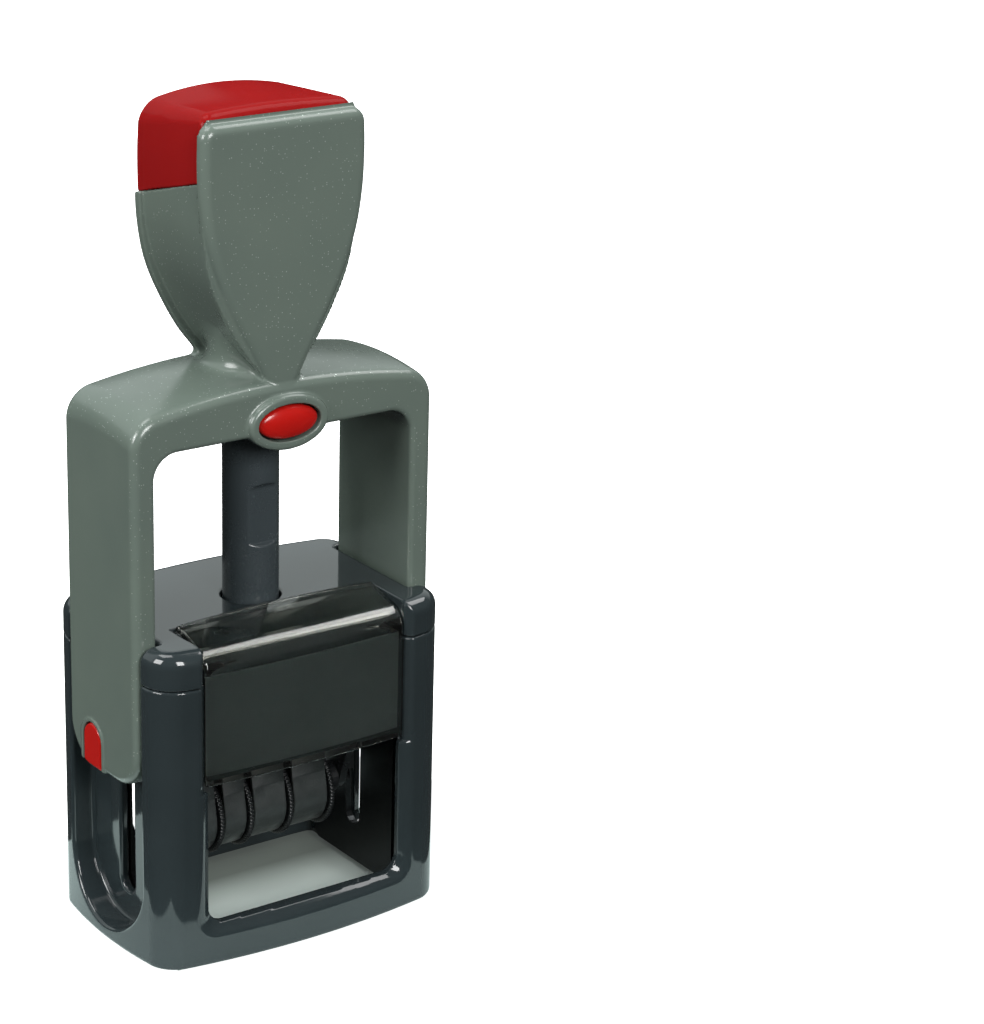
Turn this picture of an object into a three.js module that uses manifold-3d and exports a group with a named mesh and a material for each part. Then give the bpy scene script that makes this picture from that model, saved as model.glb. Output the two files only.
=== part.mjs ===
// Self-inking rotary date stamp, millimetres, +Z up, front towards -Y.
// Origin: middle of the base outline, on the surface that the stamp stands on.
// The handle slides down the base by PRESS_TRAVEL; the print unit hangs on two
// axle pins in the handle legs, faces up to the ink pad at rest and flips over
// on the way down, so that the die meets the paper at z = 0.
import * as THREE from 'three';
import { mergeVertices } from 'three/addons/utils/BufferGeometryUtils.js';
import Module from 'manifold-3d';

const wasm = await Module();
wasm.setup();

// ---------------------------------------------------------------- driving dimensions
const GAP = 0.3;                    // clearance between neighbouring pieces
const FAR = 60;                     // reach of a cutting block beyond the part
const SKY_Z = 300;                  // top of a cutting block above the whole stamp

// base outline, seen from above: four bowed sides and rounded corners
const BASE_CORNER_X = 31.5;
const BASE_CORNER_Y = 20;
const BASE_FRONT_BOW = 3.1;
const BASE_SIDE_BOW = 2.1;
const BASE_CORNER_REACH = 5.3;
const SEAM_Z = 57.7;                // joint between the lower frame and the top cover
const DECK_Z = 64.5;
const POST_TOP_Z = 65;
const DECK_UNDERSIDE_Z = 60.6;

// inside of the base
const CAVITY_HALF_WIDTH = 26;
const CAVITY_HALF_DEPTH = 18.3;
const BASE_WALL = 2.2;

// front and rear windows of the base
const WINDOW_HALF_WIDTH = 21.7;
const WINDOW_SILL_Z = 8.1;
const WINDOW_TOP_Z = 36.8;
const REAR_WINDOW_TOP_Z = 39;       // the date wheels swing out through the rear window
const WINDOW_CORNER = 3;

// channels in the sides of the base, in which the handle legs run
const CHANNEL_HALF_DEPTH = 13.3;
const CHANNEL_FLOOR_X = 28;
const CHANNEL_ROUND_Z = 16;
const AXLE_SLOT_HALF = 2.55;
const AXLE_SLOT_ROUND_Z = 10.95;

// front cover: a clear moulding that holds the index card
const COVER_HALF_WIDTH = 22.3;
const COVER_BACK_Y = -8.9;
const COVER_BACK_Z = 66;
const COVER_SHOULDER_Y = -17;
const COVER_SHOULDER_Z = 63.8;
const COVER_FRONT_Y = -20.8;
const COVER_THICKNESS = 0.9;
const CARD_THICKNESS = 0.4;
const CARD_BOTTOM_Z = 38.8;
const CARD_TOP_Z = 59;

// handle: two legs, a bridge and a grip in one moulding
const HANDLE_HALF_WIDTH = 33.2;
const LEG_INNER_X = 28.4;
const LEG_HALF_DEPTH = 12.95;
const LEG_BOTTOM_Z = 34.7;
const LEG_CORNER = 8;
const BRIDGE_UNDERSIDE_Z = 101.4;
const BRIDGE_TOP_Z = 111.8;
const BRIDGE_CROWN_RADIUS = 163;
const BRIDGE_CORNER = 4.5;
const BRIDGE_INNER_CORNER = 5;
const GRIP_FRONT_Y = -12.5;
const GRIP_PLATE_BACK_Y = -10.5;
const GRIP_BACK_Y = 12;
const GRIP_WALL = 2.2;
const GRIP_TOP_Z = 163.3;
const PLATE_TOP_Z = 161.2;
const CAP_EDGE_FRONT_Z = 151;       // height of the cap's lower edge at the front plate
const CAP_EDGE_SLOPE = -0.274;      // it falls towards the rear
const CAVITY_FLOOR_Z = 122;

// guide column and the return spring inside it
const COLUMN_RADIUS = 5.5;
const COLUMN_BORE = 4.1;
const COLUMN_TOP_Z = 115;
const COLUMN_FLANGE_RADIUS = 10;
const COLUMN_FLANGE_Z = 58.5;
const COLUMN_FLAT_Y = -4.65;
const COLUMN_FLAT_LOW_Z = 77;
const COLUMN_FLAT_HIGH_Z = 89;
const SLEEVE_BORE = 5.8;
const SLEEVE_RADIUS = 7.8;
const SLEEVE_TOP_Z = 148;
const COLUMN_SCREW_X = 7.9;

// lock button in the front of the bridge
const BUTTON_Z = 103.6;
const BUTTON_HALF_WIDTH = 6.55;
const BUTTON_HALF_HEIGHT = 3.3;
const BUTTON_FACE_Y = -14.7;
const BUTTON_BACK_Y = -12.5;
const BOSS_HALF_WIDTH = 7.9;
const BOSS_HALF_HEIGHT = 4.7;
const BOSS_FACE_Y = -14;
const BUTTON_POCKET_Y = -7.4;
const BUTTON_STEM_RADIUS = 1.5;
const BUTTON_STEM_END_Y = -8.2;

// mechanism
const PRESS_TRAVEL = 28;
const AXLE_Z = 40;                  // axis of the print unit at rest
const AXLE_PIN_RADIUS = 2.2;
const DIE_RADIUS = 12;              // die face from the axis
const DIE_HALF_WIDTH = 21.5;
const DIE_HALF_DEPTH = 13;
const CAM_PIN_REACH = 6;
const CAM_PIN_RADIUS = 1.5;
const CAM_PLATE_X = 24.4;
const CAM_PLATE_THICKNESS = 1.4;
const CAM_GROOVE_DEPTH = 0.9;       // the cam track is a groove in the plate's inner face
const CAM_PLATE_HALF_DEPTH = 14;
const CAM_PLATE_LOW_Z = 1.5;
const CAM_PLATE_HIGH_Z = 48;
const ARM_X = 19.2;
const ARM_THICKNESS = 1.6;
const HUB_X = 24;

// date wheels and bands
const WHEEL_DROP = 18.5;            // wheel axle from the axis of the print unit
const WHEEL_Z = AXLE_Z - WHEEL_DROP;
const FLANGE_RADIUS = 8.5;
const FLANGE_WIDTH = 1;
const FLANGE_TEETH = 30;
const TOOTH_DEPTH = 0.5;
const DRUM_RADIUS = 6.6;
const WHEEL_BORE = 1.55;
const WHEEL_AXLE_RADIUS = 1.25;
const WHEEL_AXLE_HALF = 21.4;       // it swings through the rear window
const BAND_THICKNESS = 0.9;
const BAND_NOSE_Z = 48.4;
const BAND_NOSE_RADIUS = 1.9;
const WHEELS = [
  { name: 'day_tens', from: -17.9, to: -10.9 },
  { name: 'day_units', from: -10.6, to: -4.2 },
  { name: 'month', from: -3.9, to: 5 },
  { name: 'year', from: 5.3, to: 14.6 },
];
const DATE_WINDOW = { left: -18.7, right: 14.9, half: 3.3 };

// ink pad and the tray that carries it
const TRAY_HALF_WIDTH = 24.2;
const TRAY_RAIL_Z = 52.2;
const TRAY_TOP_Z = 56.9;
const PAD_FACE_Z = 53;
const PAD_HALF_WIDTH = 22.6;
const PAD_HALF_DEPTH = 14.6;

// ---------------------------------------------------------------- materials
function plastic(color, roughness, extra = {}) {
  return new THREE.MeshStandardMaterial({ color, roughness, metalness: 0, ...extra });
}
const steel = new THREE.MeshStandardMaterial({ color: 0xc4c8c8, roughness: 0.3, metalness: 1 });
const greyFleck = plastic(0x64706a, 0.35);
const darkCasing = plastic(0x2c3438, 0.3);
const redPlastic = plastic(0x8e2121, 0.3);
const clearPlastic = plastic(0xd8d4c4, 0.1, { transparent: true, opacity: 0.4 });
const cardBlack = plastic(0x2a3236, 0.7);
const blackPlastic = plastic(0x1b1d1e, 0.45);
const rubber = plastic(0x232524, 0.6);
const inkFoam = plastic(0x1d2440, 0.9);

// ---------------------------------------------------------------- outlines and solids
function solid(source) {
  source.deleteAttribute('normal');
  source.deleteAttribute('uv');
  const welded = mergeVertices(source, 1e-4);
  const vertProperties = new Float32Array(welded.attributes.position.array);
  const triVerts = new Uint32Array(welded.index.array);
  const mesh = new wasm.Mesh({ numProp: 3, vertProperties, triVerts });
  return new wasm.Manifold(mesh);
}

function block(x0, x1, y0, y1, z0, z1) {
  const box = new THREE.BoxGeometry(x1 - x0, y1 - y0, z1 - z0);
  return solid(box.translate((x0 + x1) / 2, (y0 + y1) / 2, (z0 + z1) / 2));
}

function extruded(points, depth) {
  const shape = new THREE.Shape(points);
  return new THREE.ExtrudeGeometry(shape, { depth, bevelEnabled: false, steps: 1 });
}

// points are (x, y)
function alongZ(points, z0, z1) {
  return solid(extruded(points, z1 - z0).translate(0, 0, z0));
}

// points are (x, z)
function alongY(points, y0, y1) {
  return solid(extruded(points, y1 - y0).rotateX(Math.PI / 2).translate(0, y1, 0));
}

// points are (y, z)
function alongX(points, x0, x1) {
  const turn = new THREE.Matrix4().makeBasis(
    new THREE.Vector3(0, 1, 0), new THREE.Vector3(0, 0, 1), new THREE.Vector3(1, 0, 0));
  return solid(extruded(points, x1 - x0).applyMatrix4(turn).translate(x0, 0, 0));
}

function arc(cx, cy, radius, fromDegrees, toDegrees, steps) {
  const points = [];
  for (let i = 0; i <= steps; i += 1) {
    const angle = THREE.MathUtils.degToRad(fromDegrees + (toDegrees - fromDegrees) * i / steps);
    points.push(new THREE.Vector2(cx + radius * Math.cos(angle), cy + radius * Math.sin(angle)));
  }
  return points;
}

function point(x, y) {
  return new THREE.Vector2(x, y);
}

// rectangle with its two lower corners rounded, and the upper ones when roundTop is set
function roundedRectangle(x0, x1, y0, y1, radius, roundTop = true, steps = 5) {
  const lower = [
    ...arc(x0 + radius, y0 + radius, radius, 180, 270, steps),
    ...arc(x1 - radius, y0 + radius, radius, 270, 360, steps),
  ];
  if (!roundTop) return [...lower, point(x1, y1), point(x0, y1)];
  return [
    ...lower,
    ...arc(x1 - radius, y1 - radius, radius, 0, 90, steps),
    ...arc(x0 + radius, y1 - radius, radius, 90, 180, steps),
  ];
}

// closed outline from the right-hand half of a symmetric one, given from bottom to top
function mirrored(half) {
  const left = half.filter((p) => p.x > 1e-6).map((p) => point(-p.x, p.y)).reverse();
  return [...half, ...left];
}

function smooth(corners, steps) {
  return new THREE.SplineCurve(corners.map(([x, y]) => point(x, y))).getPoints(steps);
}

// round bar along an axis: from and to are places on that axis, a and b the other two
function bar(axis, radius, from, to, a = 0, b = 0, segments = 20) {
  const cylinder = new THREE.CylinderGeometry(radius, radius, to - from, segments);
  const middle = (from + to) / 2;
  if (axis === 'x') return solid(cylinder.rotateZ(-Math.PI / 2).translate(middle, a, b));
  if (axis === 'y') return solid(cylinder.translate(a, middle, b));
  return solid(cylinder.rotateX(Math.PI / 2).translate(a, b, middle));
}

function ellipseBar(halfWidth, halfHeight, y0, y1, z) {
  const cylinder = new THREE.CylinderGeometry(1, 1, y1 - y0, 28);
  return solid(cylinder.scale(halfWidth, 1, halfHeight).translate(0, (y0 + y1) / 2, z));
}

// profile of (radius, z) pairs, turned round the vertical axis
function turned(profile, segments) {
  const points = profile.map(([r, z]) => point(r, z));
  const lathe = new THREE.LatheGeometry([...points, points[0]], segments);
  return solid(lathe.rotateX(Math.PI / 2));
}

function union(...solids) {
  return solids.reduce((whole, next) => whole.add(next));
}

const stamp = new THREE.Group();
stamp.name = 'rotary_date_stamp';

function addGeometry(name, geometry, material) {
  const mesh = new THREE.Mesh(geometry, material);
  mesh.name = name;
  stamp.add(mesh);
}

function addPiece(name, body, material) {
  const mesh = body.getMesh();
  const geometry = new THREE.BufferGeometry();
  geometry.setAttribute('position', new THREE.BufferAttribute(mesh.vertProperties, 3));
  geometry.setIndex(new THREE.BufferAttribute(mesh.triVerts, 1));
  geometry.computeVertexNormals();
  addGeometry(name, geometry, material);
}

const SIDES = [{ name: 'left', sign: -1 }, { name: 'right', sign: 1 }];

// block, outline or bar that lies between two distances from the middle plane on one side
function onSide(sign, inner, outer, make) {
  return sign > 0 ? make(inner, outer) : make(-outer, -inner);
}

// ---------------------------------------------------------------- base
// outline of the base, or one moved inwards by inset: one quarter, then its three mirror images
function baseOutline(inset) {
  const cornerX = BASE_CORNER_X - inset;
  const cornerY = BASE_CORNER_Y - inset;
  const reach = BASE_CORNER_REACH - inset;
  const frontY = (x) => cornerY + BASE_FRONT_BOW * (1 - (x / cornerX) ** 2);
  const sideX = (y) => cornerX + BASE_SIDE_BOW * (1 - (y / cornerY) ** 2);
  const quarter = [];
  const bowSteps = 5;
  for (let i = 0; i <= bowSteps; i += 1) {
    const y = (cornerY - reach) * i / bowSteps;
    quarter.push(point(sideX(y), y));
  }
  const start = quarter[quarter.length - 1];
  const end = point(cornerX - reach, frontY(cornerX - reach));
  const bend = new THREE.QuadraticBezierCurve(start, point(cornerX, cornerY), end);
  quarter.push(...bend.getPoints(5).slice(1));
  for (let i = bowSteps - 1; i >= 0; i -= 1) {
    const x = (cornerX - reach) * i / bowSteps;
    quarter.push(point(x, frontY(x)));
  }
  const upper = [...quarter, ...quarter.slice(0, -1).reverse().map((p) => point(-p.x, p.y))];
  const lower = upper.slice(1, -1).reverse().map((p) => point(p.x, -p.y));
  return [...upper, ...lower];
}

function baseCavity(topZ) {
  const inner = alongZ(baseOutline(BASE_WALL), -FAR, topZ);
  const limits = block(-CAVITY_HALF_WIDTH, CAVITY_HALF_WIDTH,
    -CAVITY_HALF_DEPTH, CAVITY_HALF_DEPTH, -FAR, topZ);
  return inner.intersect(limits);
}

function legChannel(sign) {
  const outline = [
    ...arc(0, CHANNEL_ROUND_Z, CHANNEL_HALF_DEPTH, 180, 360, 14),
    point(CHANNEL_HALF_DEPTH, FAR * 2),
    point(-CHANNEL_HALF_DEPTH, FAR * 2),
  ];
  return onSide(sign, CHANNEL_FLOOR_X, FAR, (x0, x1) => alongX(outline, x0, x1));
}

function axleSlot(sign) {
  const outline = [
    ...arc(0, AXLE_SLOT_ROUND_Z, AXLE_SLOT_HALF, 180, 360, 8),
    point(AXLE_SLOT_HALF, FAR * 2),
    point(-AXLE_SLOT_HALF, FAR * 2),
  ];
  return onSide(sign, CAVITY_HALF_WIDTH - 1, CHANNEL_FLOOR_X + 1,
    (x0, x1) => alongX(outline, x0, x1));
}

function makeLowerFrame() {
  const top = SEAM_Z - GAP / 2;
  const windowOutline = (topZ) => roundedRectangle(-WINDOW_HALF_WIDTH, WINDOW_HALF_WIDTH,
    WINDOW_SILL_Z, topZ, WINDOW_CORNER, false);
  const cardSeat = block(-COVER_HALF_WIDTH - GAP, COVER_HALF_WIDTH + GAP,
    -FAR, COVER_FRONT_Y + COVER_THICKNESS + CARD_THICKNESS + 2 * GAP,
    WINDOW_TOP_Z - GAP, FAR * 2);
  const padSlot = block(-TRAY_HALF_WIDTH - 0.4, TRAY_HALF_WIDTH + 0.4,
    CAVITY_HALF_DEPTH - 3, FAR, TRAY_RAIL_Z + 0.1, FAR * 2);
  let frame = alongZ(baseOutline(0), 0, top)
    .subtract(baseCavity(FAR * 2))
    .subtract(alongY(windowOutline(WINDOW_TOP_Z), -FAR, 0))
    .subtract(alongY(windowOutline(REAR_WINDOW_TOP_Z), 0, FAR))
    .subtract(cardSeat)
    .subtract(padSlot);
  for (const { sign } of SIDES) {
    const rail = onSide(sign, TRAY_HALF_WIDTH - 0.6, CAVITY_HALF_WIDTH + 0.5,
      (x0, x1) => block(x0, x1, -16, 16, TRAY_RAIL_Z - 1.8, TRAY_RAIL_Z));
    frame = frame.add(rail).subtract(legChannel(sign)).subtract(axleSlot(sign));
  }
  return frame;
}

// space of the clear cover above and in front of the top cover, section (y, z)
function coverSection(offset) {
  const shoulder = COVER_SHOULDER_Y - COVER_FRONT_Y;
  return [
    point(COVER_FRONT_Y + offset, WINDOW_TOP_Z),
    ...arc(COVER_SHOULDER_Y, COVER_SHOULDER_Z - shoulder, shoulder - offset, 180, 100, 6),
    point(COVER_BACK_Y, COVER_BACK_Z - offset),
  ];
}

function makeTopCover() {
  const underCover = [
    ...coverSection(COVER_THICKNESS + CARD_THICKNESS + 2 * GAP),
    point(COVER_BACK_Y + GAP, COVER_BACK_Z - COVER_THICKNESS - GAP),
    point(COVER_BACK_Y + GAP, FAR * 2),
    point(-FAR, FAR * 2),
    point(-FAR, WINDOW_TOP_Z),
  ];
  const postRounding = roundedRectangle(-BASE_CORNER_X - BASE_SIDE_BOW,
    BASE_CORNER_X + BASE_SIDE_BOW, SEAM_Z - FAR, POST_TOP_Z, 4);
  let cover = alongZ(baseOutline(0), SEAM_Z + GAP / 2, POST_TOP_Z)
    .intersect(alongY(postRounding, -FAR, FAR))
    .subtract(baseCavity(DECK_UNDERSIDE_Z))
    .subtract(block(-COVER_HALF_WIDTH - GAP, COVER_HALF_WIDTH + GAP, -FAR, FAR, DECK_Z, FAR * 2))
    .subtract(alongX(underCover, -COVER_HALF_WIDTH - GAP, COVER_HALF_WIDTH + GAP))
    .subtract(bar('z', COLUMN_RADIUS + GAP, 50, 70, 0, 0, 32));
  for (const { sign } of SIDES) {
    const screwHole = bar('z', 1.2, 50, 62.8, sign * COLUMN_SCREW_X, 0, 12);
    cover = cover.subtract(legChannel(sign)).subtract(screwHole);
  }
  return cover;
}

function makeClearCover() {
  const section = [
    ...coverSection(0),
    ...coverSection(COVER_THICKNESS).reverse(),
  ];
  return alongX(section.reverse(), -COVER_HALF_WIDTH, COVER_HALF_WIDTH);
}

function makeIndexCard() {
  const front = COVER_FRONT_Y + COVER_THICKNESS + GAP;
  return block(-COVER_HALF_WIDTH + 0.6, COVER_HALF_WIDTH - 0.6,
    front, front + CARD_THICKNESS, CARD_BOTTOM_Z, CARD_TOP_Z);
}

function makeColumn() {
  const floorZ = COLUMN_FLANGE_Z + 1.8;
  let column = turned([
    [0, COLUMN_FLANGE_Z], [COLUMN_FLANGE_RADIUS, COLUMN_FLANGE_Z],
    [COLUMN_FLANGE_RADIUS, floorZ], [COLUMN_RADIUS, floorZ],
    [COLUMN_RADIUS, COLUMN_TOP_Z], [COLUMN_BORE, COLUMN_TOP_Z],
    [COLUMN_BORE, floorZ + 0.6], [0, floorZ + 0.6],
  ], 32);
  const notch = block(-FAR, FAR, -FAR, COLUMN_FLAT_Y, COLUMN_FLAT_LOW_Z, COLUMN_FLAT_HIGH_Z);
  column = column.subtract(notch);
  for (const { sign } of SIDES) {
    column = column.subtract(bar('z', 1.2, 50, 64, sign * COLUMN_SCREW_X, 0, 12));
  }
  return column;
}

function makeColumnScrew(sign) {
  const x = sign * COLUMN_SCREW_X;
  const head = bar('z', 1.9, COLUMN_FLANGE_Z - 1.3, COLUMN_FLANGE_Z - GAP, x, 0, 16);
  const shank = bar('z', 0.9, COLUMN_FLANGE_Z - 1, 62.4, x, 0, 12);
  const drive = block(x - 1.3, x + 1.3, -0.25, 0.25, COLUMN_FLANGE_Z - 1.4, COLUMN_FLANGE_Z - 0.9);
  return head.add(shank).subtract(drive);
}

// ---------------------------------------------------------------- print unit guides
// place of the cam pin, seen from the side, when the unit has turned by this angle
function camPinPlace(angle) {
  const axisZ = AXLE_Z - PRESS_TRAVEL * angle / Math.PI;
  return point(CAM_PIN_REACH * Math.sin(angle), axisZ - CAM_PIN_REACH * Math.cos(angle));
}

function camTrack() {
  const clearance = CAM_PIN_RADIUS + 0.4;
  const outer = [];
  const steps = 16;
  for (let i = 0; i <= steps; i += 1) {
    const angle = Math.PI * i / steps;
    const place = camPinPlace(angle);
    const ahead = camPinPlace(angle + 0.01).sub(camPinPlace(angle - 0.01)).normalize();
    outer.push(point(place.x - ahead.y * clearance, place.y + ahead.x * clearance));
  }
  return [point(0, camPinPlace(Math.PI).y), ...outer.reverse(), point(0, camPinPlace(0).y)];
}

function makeCamPlate(sign) {
  const slotBottom = AXLE_Z - PRESS_TRAVEL;
  const slot = [
    ...arc(0, slotBottom, AXLE_SLOT_HALF, 180, 360, 8),
    ...arc(0, AXLE_Z, AXLE_SLOT_HALF, 0, 180, 8),
  ];
  const outline = roundedRectangle(-CAM_PLATE_HALF_DEPTH, CAM_PLATE_HALF_DEPTH,
    CAM_PLATE_LOW_Z, CAM_PLATE_HIGH_Z, 2);
  const groove = onSide(sign, CAM_PLATE_X - 1, CAM_PLATE_X + CAM_GROOVE_DEPTH,
    (x0, x1) => alongX(camTrack(), x0, x1));
  return onSide(sign, CAM_PLATE_X, CAM_PLATE_X + CAM_PLATE_THICKNESS,
    (x0, x1) => alongX(outline, x0, x1).subtract(alongX(slot, x0 - 1, x1 + 1)).subtract(groove));
}

// ---------------------------------------------------------------- handle
function yokeOutline() {
  const crownZ = BRIDGE_TOP_Z - BRIDGE_CROWN_RADIUS;
  const cornerX = HANDLE_HALF_WIDTH - BRIDGE_CORNER;
  const cornerZ = crownZ + Math.sqrt((BRIDGE_CROWN_RADIUS - BRIDGE_CORNER) ** 2 - cornerX ** 2);
  const meet = THREE.MathUtils.radToDeg(Math.atan2(cornerZ - crownZ, cornerX));
  const innerX = LEG_INNER_X - BRIDGE_INNER_CORNER;
  const innerZ = BRIDGE_UNDERSIDE_Z - BRIDGE_INNER_CORNER;
  return [
    point(LEG_INNER_X, LEG_BOTTOM_Z - 1),
    point(HANDLE_HALF_WIDTH, LEG_BOTTOM_Z - 1),
    ...arc(cornerX, cornerZ, BRIDGE_CORNER, 0, meet, 5),
    ...arc(0, crownZ, BRIDGE_CROWN_RADIUS, meet, 180 - meet, 10).slice(1, -1),
    ...arc(-cornerX, cornerZ, BRIDGE_CORNER, 180 - meet, 180, 5),
    point(-HANDLE_HALF_WIDTH, LEG_BOTTOM_Z - 1),
    point(-LEG_INNER_X, LEG_BOTTOM_Z - 1),
    ...arc(-innerX, innerZ, BRIDGE_INNER_CORNER, 180, 90, 5),
    ...arc(innerX, innerZ, BRIDGE_INNER_CORNER, 90, 0, 5),
  ];
}

function legSideOutline(inset) {
  return roundedRectangle(-LEG_HALF_DEPTH + inset, LEG_HALF_DEPTH - inset,
    LEG_BOTTOM_Z + inset, FAR * 2, LEG_CORNER - inset, false, 6);
}

// grip seen from the front, at the rear face
function gripOutline(inset) {
  const flank = smooth([[4.6, 111.5], [8.8, 117], [12.7, 124], [15.7, 131], [17.2, 139],
    [17.5, 148], [17.2, 157]].map(([x, z]) => [x - inset, z]), 14);
  const top = smooth([[17.2 - inset, 157], [15.6 - inset, 161], [11.5 - inset, 162.7 - inset],
    [0, GRIP_TOP_Z - inset]], 9);
  return mirrored([point(0, 106), point(4.6 - inset, 106), ...flank, ...top.slice(1)]);
}

function frontPlateOutline() {
  const flank = smooth([[2.2, 112.8], [5.6, 117.2], [9.5, 124.4], [12.9, 131.4], [15.4, 138.4],
    [16.7, 145.7], [17.1, 153], [16.9, 159.2]], 14);
  const corner = arc(14.9, PLATE_TOP_Z - 2, 2, 0, 90, 3);
  return mirrored([point(0, 106), point(2.2, 108), ...flank.slice(0, -1), ...corner]);
}

// block above the cap's lower edge, section (y, z)
function aboveCapEdge(shift) {
  const edge = (y) => CAP_EDGE_FRONT_Z + CAP_EDGE_SLOPE * (y - GRIP_FRONT_Y) + shift;
  const section = [point(-FAR, edge(-FAR)), point(FAR, edge(FAR)),
    point(FAR, SKY_Z), point(-FAR, SKY_Z)];
  return alongX(section, -FAR, FAR);
}

function insertOutline(inset) {
  const half = 3.5 - inset;
  return [point(3.7 - half, LEG_BOTTOM_Z - 2), point(3.7 + half, LEG_BOTTOM_Z - 2),
    ...arc(3.7, 40.5, half, 0, 180, 8)];
}

function makeHandleFrame() {
  const yoke = alongY(yokeOutline(), -LEG_HALF_DEPTH, LEG_HALF_DEPTH)
    .intersect(alongX(legSideOutline(0), -FAR, FAR));
  const hollow = alongY(gripOutline(GRIP_WALL),
    GRIP_PLATE_BACK_Y + GRIP_WALL, GRIP_BACK_Y - GRIP_WALL)
    .intersect(block(-FAR, FAR, -FAR, FAR, CAVITY_FLOOR_Z, SKY_Z));
  const shell = alongY(gripOutline(0), GRIP_PLATE_BACK_Y - 0.1, GRIP_BACK_Y)
    .subtract(aboveCapEdge(-GAP / 2))
    .subtract(hollow);
  const plate = alongY(frontPlateOutline(), GRIP_FRONT_Y, GRIP_PLATE_BACK_Y);
  const sleeve = bar('z', SLEEVE_RADIUS, 105, SLEEVE_TOP_Z, 0, 0, 32);
  const boss = ellipseBar(BOSS_HALF_WIDTH, BOSS_HALF_HEIGHT, BOSS_FACE_Y, -5, BUTTON_Z);
  let frame = union(yoke, shell, plate, sleeve, boss)
    .subtract(bar('z', SLEEVE_BORE, 90, 160, 0, 0, 32))
    .subtract(ellipseBar(BUTTON_HALF_WIDTH + GAP, BUTTON_HALF_HEIGHT + GAP,
      -20, BUTTON_POCKET_Y, BUTTON_Z))
    .subtract(bar('y', BUTTON_STEM_RADIUS + GAP, BUTTON_POCKET_Y - 0.5, -5, 0, BUTTON_Z, 16));
  for (const { sign } of SIDES) {
    const pinHole = onSide(sign, LEG_INNER_X - 1, 30.7,
      (x0, x1) => bar('x', AXLE_PIN_RADIUS + GAP, x0, x1, 0, AXLE_Z));
    const pocket = onSide(sign, 31.4, FAR, (x0, x1) => alongX(insertOutline(0), x0, x1));
    frame = frame.subtract(pinHole).subtract(pocket);
  }
  return frame;
}

function makeCap() {
  const back = GRIP_PLATE_BACK_Y + GAP;
  const hollow = alongY(gripOutline(GRIP_WALL), back + GRIP_WALL, GRIP_BACK_Y - GRIP_WALL);
  return alongY(gripOutline(0), back, GRIP_BACK_Y)
    .subtract(hollow)
    .intersect(aboveCapEdge(GAP / 2));
}

function makeLegInsert(sign) {
  const limits = alongX(legSideOutline(GAP), -FAR, FAR);
  return onSide(sign, 31.7, HANDLE_HALF_WIDTH,
    (x0, x1) => alongX(insertOutline(GAP), x0, x1)).intersect(limits);
}

function makeSpringGuide() {
  return turned([
    [0, 97], [1.7, 97], [1.7, 145.9], [5.3, 145.9], [5.3, SLEEVE_TOP_Z + GAP],
    [SLEEVE_RADIUS - 0.5, SLEEVE_TOP_Z + GAP], [SLEEVE_RADIUS - 0.5, 150.6], [0, 150.6],
  ], 24);
}

// coil spring as a round wire swept along a helix, axis along +Z from the origin
function coilSpring(meanRadius, wireRadius, length, turns, stepsPerTurn, wireSides) {
  class Helix extends THREE.Curve {
    getPoint(t, target = new THREE.Vector3()) {
      const angle = t * turns * 2 * Math.PI;
      const rise = wireRadius + t * (length - 2 * wireRadius);
      return target.set(meanRadius * Math.cos(angle), meanRadius * Math.sin(angle), rise);
    }
  }
  const wire = new THREE.Shape(arc(0, 0, wireRadius, 0, 360 - 360 / wireSides, wireSides - 1));
  const steps = Math.round(turns * stepsPerTurn);
  return new THREE.ExtrudeGeometry(wire, { steps, bevelEnabled: false, extrudePath: new Helix() });
}

function makeLockButton() {
  const rim = 1.1;
  const profile = [point(0, 0), point(1, 0), point(1, rim)];
  const domeSteps = 5;
  for (let i = 1; i <= domeSteps; i += 1) {
    const angle = Math.PI / 2 * i / domeSteps;
    const rise = (BUTTON_BACK_Y - BUTTON_FACE_Y - rim) * Math.sin(angle);
    profile.push(point(Math.max(0, Math.cos(angle)), rim + rise));
  }
  const dome = new THREE.LatheGeometry([...profile, profile[0]], 28)
    .scale(BUTTON_HALF_WIDTH, 1, BUTTON_HALF_HEIGHT)
    .rotateX(Math.PI)
    .translate(0, BUTTON_BACK_Y, BUTTON_Z);
  const stem = bar('y', BUTTON_STEM_RADIUS, BUTTON_BACK_Y - 0.5, BUTTON_STEM_END_Y,
    0, BUTTON_Z, 16);
  return solid(dome).add(stem);
}

// ---------------------------------------------------------------- print unit
function makeSwivelFrame() {
  const armOutline = [
    ...arc(0, WHEEL_Z, 2.6, 200, 340, 6),
    point(7.5, 34), point(8, 42), point(12, 46), point(12, 48.3),
    point(-12, 48.3), point(-12, 46), point(-8, 42), point(-7.5, 34),
  ];
  let frame = block(-ARM_X - ARM_THICKNESS, ARM_X + ARM_THICKNESS, -12, 12, 46, 48.3);
  for (const { sign } of SIDES) {
    const arm = onSide(sign, ARM_X, ARM_X + ARM_THICKNESS, (x0, x1) => alongX(armOutline, x0, x1));
    const hub = onSide(sign, ARM_X + 0.5, HUB_X, (x0, x1) => bar('x', 4.2, x0, x1, 0, AXLE_Z));
    frame = frame.add(arm).add(hub);
  }
  for (const { sign } of SIDES) {
    const through = (radius, z) => onSide(sign, ARM_X - 1, HUB_X + 1,
      (x0, x1) => bar('x', radius, x0, x1, 0, z, 16));
    frame = frame.subtract(through(AXLE_PIN_RADIUS + GAP, AXLE_Z))
      .subtract(through(CAM_PIN_RADIUS + GAP, AXLE_Z - CAM_PIN_REACH))
      .subtract(through(WHEEL_BORE, WHEEL_Z));
  }
  return frame.subtract(block(DATE_WINDOW.left, DATE_WINDOW.right, -4.2, 4.2, 40, 60));
}

function dateWindow(z0, z1) {
  return block(DATE_WINDOW.left, DATE_WINDOW.right, -DATE_WINDOW.half, DATE_WINDOW.half, z0, z1);
}

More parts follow.
